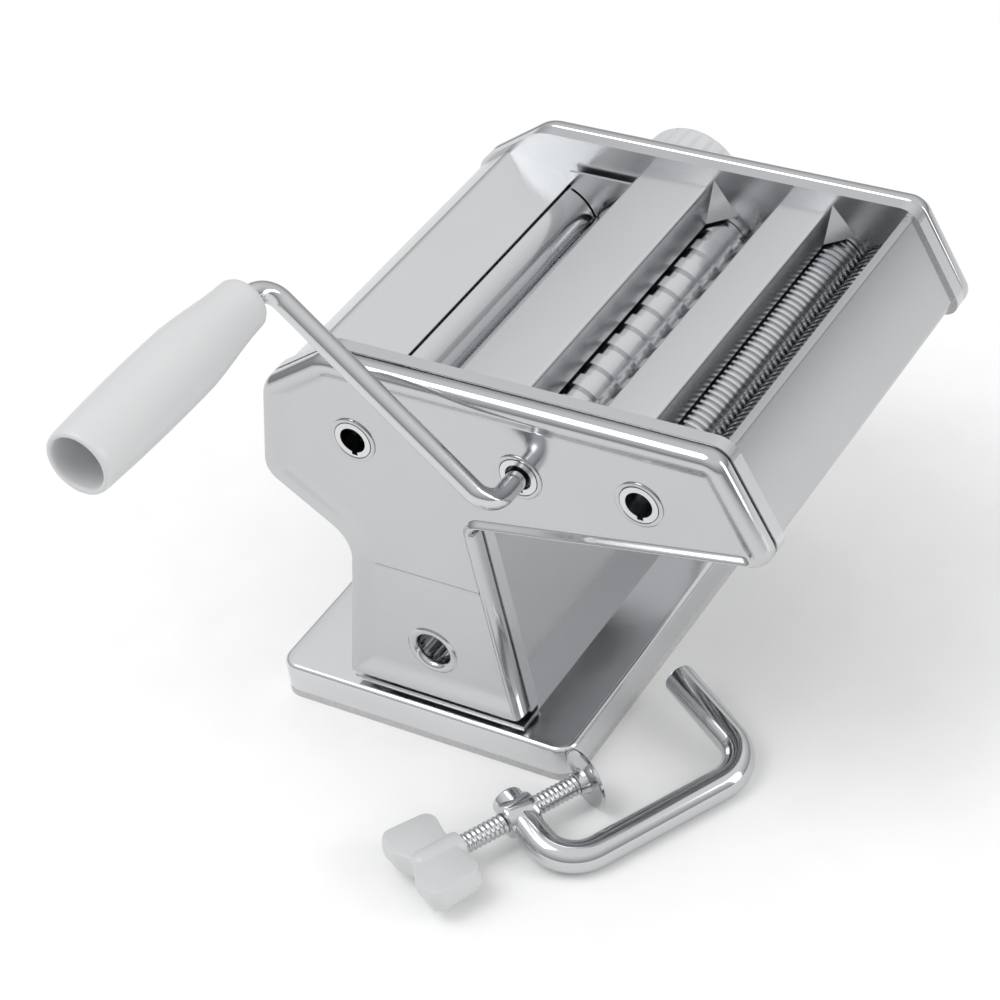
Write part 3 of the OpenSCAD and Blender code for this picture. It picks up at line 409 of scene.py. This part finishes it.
def bumped(nodes, links, source, shader, strength, distance):
    bump = nodes.new("ShaderNodeBump")
    bump.inputs["Strength"].default_value = strength
    bump.inputs["Distance"].default_value = distance
    links.new(source.outputs["Fac"], bump.inputs["Height"])
    links.new(bump.outputs["Normal"], shader.inputs["Normal"])


def metal(name, shade, rough, wave=0.15, brush=(1, 1, 1), brush_scale=60, spread=0.05):
    """Plated metal: a faint cast over the surface, uneven polish and a slow waviness."""
    mat, nodes, links, shader = new_material(name)
    shader.inputs["Metallic"].default_value = 1
    cast = noise_node(nodes, links, 9, 3)
    dark = tuple(c * (1 - spread) for c in shade)
    colour = tinted(nodes, links, cast, dark, shade)
    links.new(colour.outputs["Color"], shader.inputs["Base Color"])
    polish = noise_node(nodes, links, brush_scale, 6, brush)
    rough_map = mapped(nodes, links, polish, rough * 0.75, rough * 1.3)
    links.new(rough_map.outputs["Result"], shader.inputs["Roughness"])
    waves = noise_node(nodes, links, 14, 1)
    bumped(nodes, links, waves, shader, wave, 0.4 * MM)
    return mat


def plastic(name, shade, rough, grain=900, depth=0.05):
    """Moulded plastic: a faint tint, a fine grain and an even sheen."""
    mat, nodes, links, shader = new_material(name)
    tint = noise_node(nodes, links, 12, 2)
    colour = tinted(nodes, links, tint, tuple(c * 0.97 for c in shade), shade)
    links.new(colour.outputs["Color"], shader.inputs["Base Color"])
    fine = noise_node(nodes, links, grain, 3)
    rough_map = mapped(nodes, links, fine, rough * 0.85, rough * 1.15)
    links.new(rough_map.outputs["Result"], shader.inputs["Roughness"])
    bumped(nodes, links, fine, shader, depth, 0.1 * MM)
    shader.inputs["Coat Weight"].default_value = 0.15
    return mat


def rubber(name, shade):
    mat, nodes, links, shader = new_material(name)
    speckle = noise_node(nodes, links, 700, 4)
    colour = tinted(nodes, links, speckle, tuple(c * 0.85 for c in shade), shade)
    links.new(colour.outputs["Color"], shader.inputs["Base Color"])
    shader.inputs["Roughness"].default_value = 0.75
    bumped(nodes, links, speckle, shader, 0.3, 0.2 * MM)
    return mat


LENGTHWISE = (1, 0.04, 1)
materials = {
    "chrome_body": metal("chrome_body", (0.53, 0.54, 0.55), 0.13, wave=0.12),
    "cover_top": metal("cover_top", (0.68, 0.69, 0.7), 0.22, wave=0.12, brush=LENGTHWISE),
    "frame_steel": metal("frame_steel", (0.62, 0.63, 0.64), 0.24, wave=0.05),
    "roller_metal": metal("roller_metal", (0.66, 0.67, 0.68), 0.13, wave=0.02, brush=LENGTHWISE),
    "cutter_metal": metal("cutter_metal", (0.66, 0.67, 0.68), 0.2, wave=0.02),
    "gear_steel": metal("gear_steel", (0.5, 0.5, 0.51), 0.4, wave=0.05),
    "bush_bronze": metal("bush_bronze", (0.62, 0.5, 0.28), 0.35, wave=0.03),
    "dark_steel": metal("dark_steel", (0.42, 0.42, 0.43), 0.4, wave=0.05),
    "rod_chrome": metal("rod_chrome", (0.6, 0.61, 0.62), 0.12, wave=0.03),
    "white_plastic": plastic("white_plastic", (0.56, 0.57, 0.575), 0.42),
    "ring_plastic": plastic("ring_plastic", (0.56, 0.57, 0.57), 0.5),
    "mat_rubber": rubber("mat_rubber", (0.5, 0.5, 0.5)),
}
ink = plastic("dial_ink", (0.05, 0.05, 0.055), 0.5)
# Painted shade: a near-black metal for the foot screws' slot blocks, standing for the shade inside
# the slots.
slot_painted_shade = metal("slot_painted_shade", (0.12, 0.12, 0.12), 0.5)

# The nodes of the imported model: these keep flat shading, and the others are smoothed by angle
FLAT_NODES = ("near_frame_plate", "far_frame_plate", "near_cheeks", "far_cheeks", "base_mat")
slot_of = {s["node"]: s["material_slot"] for s in frame["record"]["subparts"]}
for node_name, node_object in frame["nodes"].items():
    dress(node_object, materials[slot_of[node_name]])
    if node_name not in FLAT_NODES:
        smooth_by_angle(node_object.data)


# Outer covers: a pressed pan with a rounded rim round a recessed face
def cover_ring(widths, y):
    return [(p.x, y, p.y) for p in outline(cover_points, side_radii, widths)]


def cover_rings():
    """A groove at the seam, a quarter round up to the rim, and a soft slope down to the face."""
    round_steps, slope_steps = 8, 12
    groove = in_mm([(0.9, 0.0), (0.9, 0.35), (0.3, 0.8), (0.0, 1.4)])
    rings = [cover_ring(even(d), cover_in + h) for d, h in groove]
    rings.append(cover_ring(even(0.0), rim_out - rim_round))
    crest = [crest_share * w for w in rim_widths]
    foot = [w + past for w, past in zip(rim_widths, slope_past)]
    for k in range(1, round_steps + 1):
        t = math.pi / 2 * k / round_steps
        widths = [c * (1 - math.cos(t)) for c in crest]
        rings.append(cover_ring(widths, rim_out - rim_round * (1 - math.sin(t))))
    for k in range(1, slope_steps + 1):
        share = k / slope_steps
        widths = [c + (f - c) * share for c, f in zip(crest, foot)]
        fall = (1 - math.cos(math.pi * share)) / 2
        rings.append(cover_ring(widths, rim_out - (rim_out - face_out) * fall))
    return rings


def hole_ring(x, z, r, y, steps=48):
    ring = []
    for k in range(steps):
        t = 2 * math.pi * k / steps
        ring.append((x + r * math.cos(t), y, z + r * math.sin(t)))
    return ring


def cover_part(holes):
    """The far cover, its flat face filled in round holes of (x, z, radius) with short edges."""
    rings = cover_rings()
    verts, faces = loft(rings, cap_start=False, cap_end=False)
    loops = [rings[-1]]
    starts = [len(verts) - len(rings[-1])]
    for x, z, r in holes:
        ring = hole_ring(x, z, r, face_out)
        back = hole_ring(x, z, r, face_out - cover_edge)
        starts.append(len(verts))
        loops.append(ring)
        verts += ring + back
        faces += bridge(starts[-1] + len(ring), starts[-1], len(ring))
    index = []
    for start, loop in zip(starts, loops):
        index += list(range(start, start + len(loop)))
    flat = [[Vector((p[0], p[2], 0)) for p in loop] for loop in loops]
    for tri in tessellate_polygon(flat):
        a, b, c = (index[i] for i in tri)
        pa, pb, pc = (Vector(verts[i]) for i in (a, b, c))
        up = (pb - pa).cross(pc - pa).y > 0
        faces.append((a, b, c) if up else (a, c, b))
    return verts, faces


collar_hole_r = reach("clamp_sleeve").x - 1.6 * MM
collar_hole = (clamp_hole.x, clamp_hole.z, collar_hole_r)
near_holes = [(axis.x, axis.z, socket_hole_r) for axis in (smooth, wide, narrow)] + [collar_hole]
far_holes = [(adjustable.x, adjustable.z, dial_hole_r), collar_hole]
part = mirrored(cover_part(near_holes))
piece("near_cover_pressing", *part, "machine", "chrome_body", ["near_outer_cover"])
part = cover_part(far_holes)
piece("far_cover_pressing", *part, "machine", "chrome_body", ["far_outer_cover"])


# The fold line across each pedestal
def crease_part():
    z = 79.6 * MM
    rear_gap, front_gap = 2.4 * MM, 5.4 * MM
    left = at_height(side_points[8], side_points[0], z).x + rear_gap
    right = at_height(side_points[1], side_points[2], z).x - front_gap
    section = in_mm([(-0.7, 0), (-0.35, 0.28), (0.35, 0.28), (0.7, 0)])
    rings = [[(x, face_out + h, z + w) for w, h in section] for x in (left, right)]
    return loft(rings)


part = crease_part()
piece("far_cover_fold", *part, "machine", "chrome_body")
piece("near_cover_fold", *mirrored(part), "machine", "chrome_body")


# Collars round the clamp hole and rings round the sockets
def collar_part(sign):
    flange = reach("clamp_sleeve").x
    bore = flange - 3.9 * MM
    back = bore + 2.2 * MM
    inner_end = -11.7 * MM
    profile = [(flange, 0.05 * MM), (flange - 0.5 * MM, 0.4 * MM), (flange - 1.1 * MM, 0.7 * MM)]
    profile += [(flange - 1.8 * MM, 0.75 * MM), (bore + 1.2 * MM, 0.45 * MM)]
    profile += [(bore + 0.5 * MM, -0.3 * MM), (bore + 0.15 * MM, -1.5 * MM), (bore, -3 * MM)]
    profile += [(bore, inner_end), (back, inner_end), (back, -1 * MM)]
    part = lathe(profile, 64, closed=True)
    return moved(part, along_y(clamp_hole.x, sign * face_out, clamp_hole.z, sign))


piece("clamp_collars", *join_parts([collar_part(1), collar_part(-1)]), "machine", "chrome_body",
      ["clamp_sleeve"])


def socket_ring_part(centre):
    profile = in_mm([
        (9.4, 0), (9.35, 0.45), (9.1, 0.65), (8.7, 0.7), (8.1, 0.65), (7.75, 0.4), (7.65, 0),
        (7.65, -0.85), (8.35, -0.85), (8.35, 0)])
    return moved(lathe(profile, 64, closed=True), along_y(centre.x, -face_out, centre.z, -1))


parts = [socket_ring_part(c) for c in (smooth, wide, narrow)]
piece("socket_trim", *join_parts(parts), "machine", "chrome_body", ["socket_rings"])


# Base pan with its rounded upper edge
def rect_ring(d, z, r=base_corner_r):
    points = [
        Vector((base_low.x, base_low.y)), Vector((base_high.x, base_low.y)),
        Vector((base_high.x, base_high.y)), Vector((base_low.x, base_high.y)),
    ]
    ring = rounded(inset(points, [d] * 4), [max(0.5 * MM, r - d)] * 4, steps=8)
    return [(p.x, p.y, z) for p in ring]


def base_part():
    edge_r, wall, steps = 2.2 * MM, 1.2 * MM, 6
    rings = [rect_ring(wall, base_low.z + 1 * MM), rect_ring(wall, base_low.z)]
    rings += [rect_ring(0, base_low.z), rect_ring(0, base_low.z + 0.1 * MM)]
    for k in range(steps + 1):
        t = math.pi / 2 * k / steps
        rings.append(rect_ring(edge_r * (1 - math.cos(t)), base_top - edge_r * (1 - math.sin(t))))
    return loft(rings, cap_start=False)


base_metal = metal("base_metal", (0.68, 0.69, 0.7), 0.17, wave=0.15)
base_pan = piece("base_pan", *base_part(), "machine", "chrome_body", ["base_plate"])
dress(base_pan, base_metal)


# Bent sheets of the top
inner = inset(side_points, even(inner_gap))


def v2(x, z):
    return Vector((x, z))


def top_piece(name, points, radii, replaces, slot="cover_top", thickness=sheet):
    part = bent_sheet(open_path(points, radii), thickness, -half, half)
    return piece(name, *part, "machine", slot, replaces)


lip = v2(smooth.x + 6.4 * MM, smooth.z + 18 * MM)
feed_top = inner[5] + (inner[6] - inner[5]) * 0.52
hip_end = inner[7] + (inner[8] - inner[7]).normalized() * 12 * MM
top_piece("rear_feed_sheet", [lip, feed_top, inner[6], inner[7], hip_end],
          [4 * MM, 9 * MM, 8 * MM], ["rear_cover"], thickness=0.6 * MM)


def flat_cover(name, left, left_low, right, right_low, node):
    """A flat cover between two hoppers, folded down into each."""
    points = [v2(right, right_low), v2(right, cover_top), v2(left, cover_top), v2(left, left_low)]
    top_piece(name, points, [fold_r, fold_r], [node])


flat_cover("mid_sheet", adjustable.x + 4.3 * MM, smooth.z + smooth_r,
           wide.x - hopper_gap, wide.z + cutter_r + hopper_gap, "mid_cover")
flat_cover("second_sheet", wide_mate.x + 5.4 * MM, wide.z + cutter_r,
           narrow.x, narrow.z + cutter_r + hopper_gap, "second_cover")

apron_low_share = 0.9
apron_run = (inner[3] - inner[4]).normalized()
apron_top = inner[4] + apron_run * 1.8 * MM
apron_low = inner[4] + (inner[3] - inner[4]) * apron_low_share
# The apron gets a darker copy of cover_top's metal: painted shade for its forward-sloping face, not
# a different finish.
apron_painted_shade = metal("apron_painted_shade", (0.5, 0.51, 0.52), 0.2, wave=0.15, brush=LENGTHWISE)
apron = top_piece("apron_sheet", [
    apron_low + v2(-1.3 * MM, 0), apron_low, apron_top, apron_top + v2(-3 * MM, 0)],
    [1.1 * MM, 1.3 * MM], ["front_apron"])
dress(apron, apron_painted_shade)

panel_low = at_height(inner[1], inner[2], base_top)
panel_high = inner[2] + (inner[3] - inner[2]).normalized() * 24 * MM
panel_path = open_path([panel_low, inner[2], panel_high], [20 * MM], steps=16)
part = bent_sheet(panel_path, sheet, -half, half)
piece("pedestal_front_sheet", *part, "machine", "chrome_body", ["front_pedestal_panel"])


# Crank: one bent rod with a plug, and the turned grip on its spindle
crank_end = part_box("crank_rod")[0].y
grip_low, grip_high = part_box("crank_grip")
grip_centre = middle("crank_grip")
grip_r = reach("crank_grip").x
grip_len = grip_high.y - grip_low.y
crank_r = 4 * MM
arm_y = grip_high.y + 12 * MM
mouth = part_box("wide_drive_cutter")[0].y
hub = Vector((wide.x, 0, wide.z))
tip = Vector((grip_centre.x, 0, grip_centre.z))


def with_y(point, y):
    return Vector((point.x, y, point.z))


def crank_part():
    corners = [
        with_y(hub, mouth + 2.5 * MM), with_y(hub, arm_y), with_y(tip, arm_y),
        with_y(tip, crank_end),
    ]
    bar = sweep(fillet(corners, 9 * MM, 12), crank_r, 32)
    plug = lathe(in_mm([(4.6, -21), (5.22, -20), (5.22, -4), (4, -3)]), 48)
    plug = moved(plug, along_y(hub.x, mouth, hub.z, -1))
    lug_low = Vector((hub.x - 1 * MM, mouth + 7 * MM, hub.z - 6.4 * MM))
    lug_high = Vector((hub.x + 1 * MM, mouth + 21 * MM, hub.z - 3 * MM))
    return join_parts([bar, plug, block(lug_low, lug_high)])


def block(low, high, soften=0.15 * MM):
    """A box with a small chamfer on its long edges."""
    rings = []
    for y, s in ((low.y, soften), (low.y + soften, 0), (high.y - soften, 0), (high.y, soften)):
        a, b, c, d = low.x + s, high.x - s, low.z + s, high.z - s
        k = soften
        rings.append([
            (a + k, y, c), (b - k, y, c), (b, y, c + k), (b, y, d - k),
            (b - k, y, d), (a + k, y, d), (a, y, d - k), (a, y, c + k)])
    return loft([ring[::-1] for ring in rings])


piece("crank_bar", *crank_part(), "crank", "rod_chrome", ["crank_rod"])


def grip_profile():
    """Radius and height from the rod's end to the open end, then back through the hollow."""
    shares = [
        (0.46, 0.0), (0.62, 0.002), (0.70, 0.008), (0.745, 0.02), (0.76, 0.045), (0.77, 0.08),
        (0.81, 0.14), (0.87, 0.21), (0.93, 0.28), (0.965, 0.33), (0.985, 0.37), (0.995, 0.44),
        (1.0, 0.52), (0.998, 0.62), (0.99, 0.72), (0.975, 0.81), (0.955, 0.89), (0.94, 0.94),
        (0.935, 0.965), (0.92, 0.985), (0.895, 0.996), (0.865, 1.0), (0.80, 1.0), (0.765, 0.996),
        (0.745, 0.985), (0.74, 0.95), (0.735, 0.82), (0.70, 0.812), (0.45, 0.81), (0.45, 0.73),
        (0.32, 0.729),
    ]
    return [(grip_r * r, grip_len * h) for r, h in shares]


def grip_part():
    """The turned grip, with four long shallow flats that fade out towards both ends."""
    bore, bore_share = crank_r + 0.08 * MM, 0.729
    flat_start, flat_length, flat_depth, outside = 0.28, 0.6, 0.045, 0.85
    profile = grip_profile() + [(bore, grip_len * bore_share), (bore, 0)]
    turned, faces = lathe(profile, 96, closed=True)
    shaped = []
    for x, y, h in turned:
        r, t = math.hypot(x, y), math.atan2(y, x)
        along = min(1, max(0, (h / grip_len - flat_start) / flat_length))
        fade = max(0.0, math.sin(math.pi * along))
        flat = flat_depth * fade * abs(math.cos(2 * t)) ** 5 if r > outside * grip_r else 0
        shaped.append((x * (1 - flat), y * (1 - flat), h))
    return moved((shaped, faces), along_y(grip_centre.x, grip_high.y, grip_centre.z, -1))


part = grip_part()
piece("grip_moulding", *part, "grip", "white_plastic", ["crank_grip"], angle=math.radians(50))

plug_middle = middle("grip_plug")
plug_r = reach("grip_plug").x
profile = [(0.001 * MM, 0.2 * MM), (3 * MM, 0.2 * MM), (3.3 * MM, 1 * MM), (3.9 * MM, 1.2 * MM)]
profile += [(4.4 * MM, 1 * MM), (4.7 * MM, 0.4 * MM), (plug_r - 1 * MM, 0.3 * MM), (plug_r, 0.0)]
part = moved(lathe(profile + [(plug_r, -0.8 * MM)], 48),
             along_y(plug_middle.x, plug_middle.y, plug_middle.z, -1))
piece("grip_end_insert", *part, "grip", "white_plastic", ["grip_plug"])


# Dial with its fluted grip, its skirt and its numbers
dial_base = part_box("dial_knob")[0].y
dial_r = reach("dial_knob").x
dial_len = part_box("dial_cap")[1].y - dial_base
dial_steps = 192
flutes = 24
flute_depth = 0.9 * MM
settings = 7
first_angle, setting_angle = -60, 20


def dial_part():
    profile = [(0.55, 0.0), (0.96, 0.0), (0.99, 0.01), (1.0, 0.03), (1.0, 0.19), (0.99, 0.205)]
    profile += [(0.955, 0.215), (0.95, 0.24), (0.945, 0.6), (0.94, 0.88), (0.925, 0.94)]
    profile += [(0.89, 0.98), (0.84, 0.995), (0.8, 0.985), (0.76, 0.955), (0.5, 0.95), (0.2, 0.95)]
    rings = []
    for share, height in profile:
        deep = flute_depth if 0.23 < height < 0.9 and share > 0.9 else 0
        ring = []
        for k in range(dial_steps):
            t = 2 * math.pi * k / dial_steps
            wave = max(0.0, math.cos(flutes * t)) ** 2
            r = dial_r * share - deep * wave
            ring.append((r * math.cos(t), r * math.sin(t), dial_len * height))
        rings.append(ring)
    return moved(loft(rings), along_y(adjustable.x, dial_base, adjustable.z, 1))


piece("dial_moulding", *dial_part(), "dial", "white_plastic", ["dial_knob", "dial_cap"])


def number_piece(text, angle):
    """One raised number on the dial's skirt, at an angle from the top towards +X."""
    curve = bpy.data.curves.new("dial_number_" + text, "FONT")
    curve.body = text
    curve.size = 4.6 * MM
    curve.align_x = "CENTER"
    curve.align_y = "CENTER"
    curve.extrude = 0.08 * MM
    holder = bpy.data.objects.new("dial_number_source_" + text, curve)
    bpy.context.scene.collection.objects.link(holder)
    bpy.context.view_layer.update()
    depsgraph = bpy.context.evaluated_depsgraph_get()
    mesh = bpy.data.meshes.new_from_object(holder.evaluated_get(depsgraph))
    bpy.data.objects.remove(holder)
    out = Vector((math.sin(angle), 0, math.cos(angle)))
    up = Vector((0, -1, 0))
    right = up.cross(out)
    place = Matrix((right, up, out)).transposed().to_4x4()
    skirt_middle = Vector((adjustable.x, dial_base + 0.11 * dial_len, adjustable.z))
    place.translation = skirt_middle + out * dial_r
    mesh.transform(place)
    obj = bpy.data.objects.new("dial_number_" + text, mesh)
    bpy.context.scene.collection.objects.link(obj)
    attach(obj, "dial")
    dress(obj, ink)


for setting in range(settings):
    number_piece(str(setting + 1), math.radians(first_angle + setting_angle * setting))


def index_mark_part():
    """A raised arrow on the index ring, over the dial's number."""
    ring_top = adjustable.z + reach("index_ring").z
    y0, y1 = face_out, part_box("index_ring")[1].y - 0.4 * MM
    shape = in_mm([(-1.6, 2.6), (0, 0.1), (1.6, 2.6)])
    rings = [[(adjustable.x + x, y, ring_top + z) for x, z in shape] for y in (y0, y1)]
    return loft(rings)


piece("index_arrow", *index_mark_part(), "machine", "ring_plastic")


# Clamp: bent rod with a flattened, drilled end, threaded screw, pad and wing knob
clamp_turn = math.radians(62.5)
screw_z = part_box("clamp_pad")[1].z / 2
pad_place = Vector((76 * MM, -95 * MM, screw_z))
screw_arm = 29 * MM
clamp_r = 6.2 * MM
level = Matrix.Translation(pad_place) @ Matrix.Rotation(clamp_turn, 4, "Z")
lift = math.asin((screw_z - clamp_r) / screw_arm)
tilted = level @ Matrix.Rotation(lift, 4, "X")
eye_x, free_x = -29 * MM, 57 * MM


def clamp_part():
    corners = [
        Vector((eye_x, 9 * MM, 0)), Vector((eye_x, -screw_arm, 0)), Vector((free_x, -screw_arm, 0)),
        Vector((free_x, 50 * MM - screw_arm, 0)),
    ]
    path, radii = rod_ends(fillet(corners, 15.2 * MM, 14), clamp_r, 1 * MM)
    bar = sweep(path, radii, 32)
    profile = in_mm([
        (4.05, -6.5), (5.9, -6.5), (6.5, -6.2), (6.9, -5.4), (7, -4), (7, 4), (6.9, 5.4),
        (6.5, 6.2), (5.9, 6.5), (4.05, 6.5)])
    eye = moved(lathe(profile, 48, closed=True),
                Matrix.Translation((eye_x, 0, 0)) @ Matrix.Rotation(math.pi / 2, 4, "Y"))
    return moved(join_parts([bar, eye]), tilted)


piece("clamp_bar", *clamp_part(), "clamp", "rod_chrome", ["clamp_frame"])


def thread_part():
    """The clamp screw, with a true helical thread from its tip to its knob."""
    screw_r, deep, pitch = 4 * MM, 0.5 * MM, 2 * MM
    start, end = 4.2 * MM, 66 * MM
    tip_r, tip_start, tip_end = 2.5 * MM, 0.1 * MM, 4.1 * MM
    steepness, crest_half = 2.6, 0.25
    sides, per_pitch = 32, 8
    rows = int((end - start) / pitch * per_pitch)
    rings = [[], []]
    for k in range(sides):
        t = 2 * math.pi * k / sides
        for ring, h in zip(rings, (tip_start, tip_end)):
            ring.append((-h, tip_r * math.cos(t), tip_r * math.sin(t)))
    for row in range(rows + 1):
        h = start + (end - start) * row / rows
        ring = []
        for k in range(sides):
            t = 2 * math.pi * k / sides
            phase = (h / pitch + k / sides) % 1
            r = screw_r - deep * min(1, max(0, steepness * abs(phase - 0.5) - crest_half))
            ring.append((-h, r * math.cos(t), r * math.sin(t)))
        rings.append(ring)
    return moved(loft([ring[::-1] for ring in rings]), level)


piece("clamp_thread", *thread_part(), "screw", "rod_chrome", ["clamp_screw"], angle=math.radians(60))


def pad_part():
    r = screw_z
    profile = in_mm([(2.56, -4), (4.4, -4), (4.7, -3.7), (4.8, -1.4), (5.4, -0.5), (6.8, -0.05)])
    profile += [(r - 0.6 * MM, 0), (r, 0.4 * MM), (r, 1.2 * MM)]
    profile += [(r - 0.5 * MM, 1.6 * MM), (r - 2.5 * MM, 1.6 * MM), (r - 3 * MM, 1.2 * MM)]
    profile += [(2 * MM, 1.1 * MM), (0.01 * MM, 0.9 * MM)]
    part = lathe(profile, 64)
    return moved(part, level @ Matrix.Rotation(math.pi / 2, 4, "Y"))


piece("clamp_pad_disc", *pad_part(), "pad", "rod_chrome", ["clamp_pad"])


def wing_part():
    """Two rounded wings with softened edges, on a hub round the screw."""
    knob_low = -78 * MM
    w, length, thick, soften, steps = 21 * MM, 24 * MM, 5 * MM, 1.6 * MM, 8
    points = [
        v2(0, -0.34 * w), v2(0, -w), v2(length, -0.92 * w), v2(0.9 * length, -0.34 * w),
        v2(0.9 * length, 0.34 * w), v2(length, 0.92 * w), v2(0, w), v2(0, 0.34 * w),
        v2(0.15 * length, 0)]
    wing_corners = [r * MM for r in (5, 5, 5.5, 6, 6, 5.5, 5, 5, 4)]
    rings = []
    for k in range(steps + 1):
        t = math.pi * k / steps
        d = soften * (1 - math.sin(t) ** 0.8) if 0 < k < steps else soften
        height = -thick * math.cos(t)
        ring = outline(points, wing_corners, [d] * len(points))
        rings.append([(knob_low + p.x, p.y, height) for p in ring])
    wings = loft(rings)
    hub_profile = [(0.01 * MM, 0.16 * length), (4.6 * MM, 0.17 * length), (5.6 * MM, 0.22 * length)]
    hub_profile += [(6 * MM, 0.3 * length), (6 * MM, 0.93 * length), (5.7 * MM, 0.985 * length)]
    hub_profile += [(5.2 * MM, length), (4.05 * MM, length)]
    hub_place = Matrix.Translation((knob_low, 0, 0)) @ Matrix.Rotation(math.pi / 2, 4, "Y")
    wing_hub = moved(lathe(hub_profile, 40), hub_place)
    return moved(join_parts([wings, wing_hub]), level)


piece("wing_moulding", *wing_part(), "screw", "white_plastic", ["wing_knob"])


# Foot screws: pan heads with a cross slot, drawn as a dark block of painted shade on each head
def foot_screw_parts():
    heads, slot_shades = [], []
    low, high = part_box("foot_screws")
    r = 3.4 * MM
    top = high.z
    for x in (low.x + r, high.x - r):
        for y in (low.y + r, high.y - r):
            profile = [(r, -1.6 * MM), (r, -1 * MM), (0.92 * r, -0.5 * MM), (0.7 * r, -0.15 * MM)]
            profile += [(0.4 * r, 0), (0.01 * MM, 0)]
            heads.append(moved(lathe(profile, 32), Matrix.Translation((x, y, top))))
            for long_x, long_y in ((1.7 * MM, 0.3 * MM), (0.3 * MM, 1.7 * MM)):
                corner_low = Vector((x - long_x, y - long_y, top - 0.3 * MM))
                corner_high = Vector((x + long_x, y + long_y, top + 0.02 * MM))
                slot_shades.append(block(corner_low, corner_high, 0.05 * MM))
    return join_parts(heads), join_parts(slot_shades)


heads, slot_shades = foot_screw_parts()
piece("foot_screw_heads", *heads, "machine", "frame_steel", ["foot_screws"])
# The slot blocks are near-black: painted shade standing for the hollow of each cross slot.
dress(piece("foot_screw_slot_shades", *slot_shades, "machine", "dark_steel"), slot_painted_shade)


# Floor, light and camera
def floor():
    half_size = 14.0
    corners = [(x * half_size, y * half_size, 0) for x, y in ((-1, -1), (1, -1), (1, 1), (-1, 1))]
    mesh = bpy.data.meshes.new("floor")
    mesh.from_pydata(corners, [], [(0, 1, 2, 3)])
    obj = bpy.data.objects.new("floor", mesh)
    bpy.context.scene.collection.objects.link(obj)
    mat, nodes, links, shader = new_material("floor_paper")
    speck = noise_node(nodes, links, 40, 2)
    colour = tinted(nodes, links, speck, (0.9, 0.9, 0.9), (0.92, 0.92, 0.92))
    links.new(colour.outputs["Color"], shader.inputs["Base Color"])
    shader.inputs["Roughness"].default_value = 0.9
    shader.inputs["Specular IOR Level"].default_value = 0.1
    mesh.materials.append(mat)


def world():
    """Plain pale light: white for the camera, and in reflections a pale sky over a greyer room."""
    scene = bpy.context.scene
    scene.world = bpy.data.worlds.new("studio")
    scene.world.use_nodes = True
    nodes, links = scene.world.node_tree.nodes, scene.world.node_tree.links
    nodes.clear()
    output = nodes.new("ShaderNodeOutputWorld")
    light = nodes.new("ShaderNodeBackground")
    light.inputs["Color"].default_value = (0.88, 0.88, 0.88, 1)
    seen = nodes.new("ShaderNodeBackground")
    seen.inputs["Color"].default_value = (1, 1, 1, 1)
    room = nodes.new("ShaderNodeBackground")
    coords = nodes.new("ShaderNodeTexCoord")
    split = nodes.new("ShaderNodeSeparateXYZ")
    ramp = nodes.new("ShaderNodeValToRGB")
    ramp.color_ramp.elements[0].position = 0.0
    ramp.color_ramp.elements[0].color = (0.3, 0.3, 0.31, 1)
    ramp.color_ramp.elements[1].position = 0.72
    ramp.color_ramp.elements[1].color = (0.95, 0.95, 0.96, 1)
    links.new(coords.outputs["Generated"], split.inputs["Vector"])
    links.new(split.outputs["Z"], ramp.inputs["Fac"])
    links.new(ramp.outputs["Color"], room.inputs["Color"])
    path = nodes.new("ShaderNodeLightPath")
    glossy = nodes.new("ShaderNodeMixShader")
    camera = nodes.new("ShaderNodeMixShader")
    links.new(path.outputs["Is Glossy Ray"], glossy.inputs["Fac"])
    links.new(light.outputs["Background"], glossy.inputs[1])
    links.new(room.outputs["Background"], glossy.inputs[2])
    links.new(path.outputs["Is Camera Ray"], camera.inputs["Fac"])
    links.new(glossy.outputs["Shader"], camera.inputs[1])
    links.new(seen.outputs["Background"], camera.inputs[2])
    links.new(camera.outputs["Shader"], output.inputs["Surface"])


def softbox(name, place, target, size, power):
    data = bpy.data.lights.new(name, "AREA")
    data.shape = "RECTANGLE"
    data.size, data.size_y = size
    data.energy = power
    obj = bpy.data.objects.new(name, data)
    bpy.context.scene.collection.objects.link(obj)
    obj.location = place
    obj.rotation_euler = (Vector(target) - Vector(place)).to_track_quat("-Z", "Y").to_euler()


def camera():
    """The photograph's view, found by fitting the machine's edges and corners."""
    place = Vector((0.5196, -0.7415, 0.7714))
    target = Vector((0.0268, -0.0536, 0.1))
    roll = math.radians(-8.39)
    data = bpy.data.cameras.new("camera")
    data.sensor_width = 36
    data.lens = 105.2
    obj = bpy.data.objects.new("camera", data)
    bpy.context.scene.collection.objects.link(obj)
    obj.location = place
    obj.rotation_mode = "QUATERNION"
    obj.rotation_quaternion = (target - place).to_track_quat("-Z", "Y") @ Quaternion((0, 0, 1), roll)
    bpy.context.scene.camera = obj


floor()
world()
softbox("key", (-0.5, -0.6, 1.5), (0, 0, 0.1), (1.0, 0.8), 9)
softbox("side", (1.6, 0.3, 0.7), (0, 0, 0.1), (0.5, 1.2), 7)
camera()
bpy.context.scene.view_settings.view_transform = "Standard"
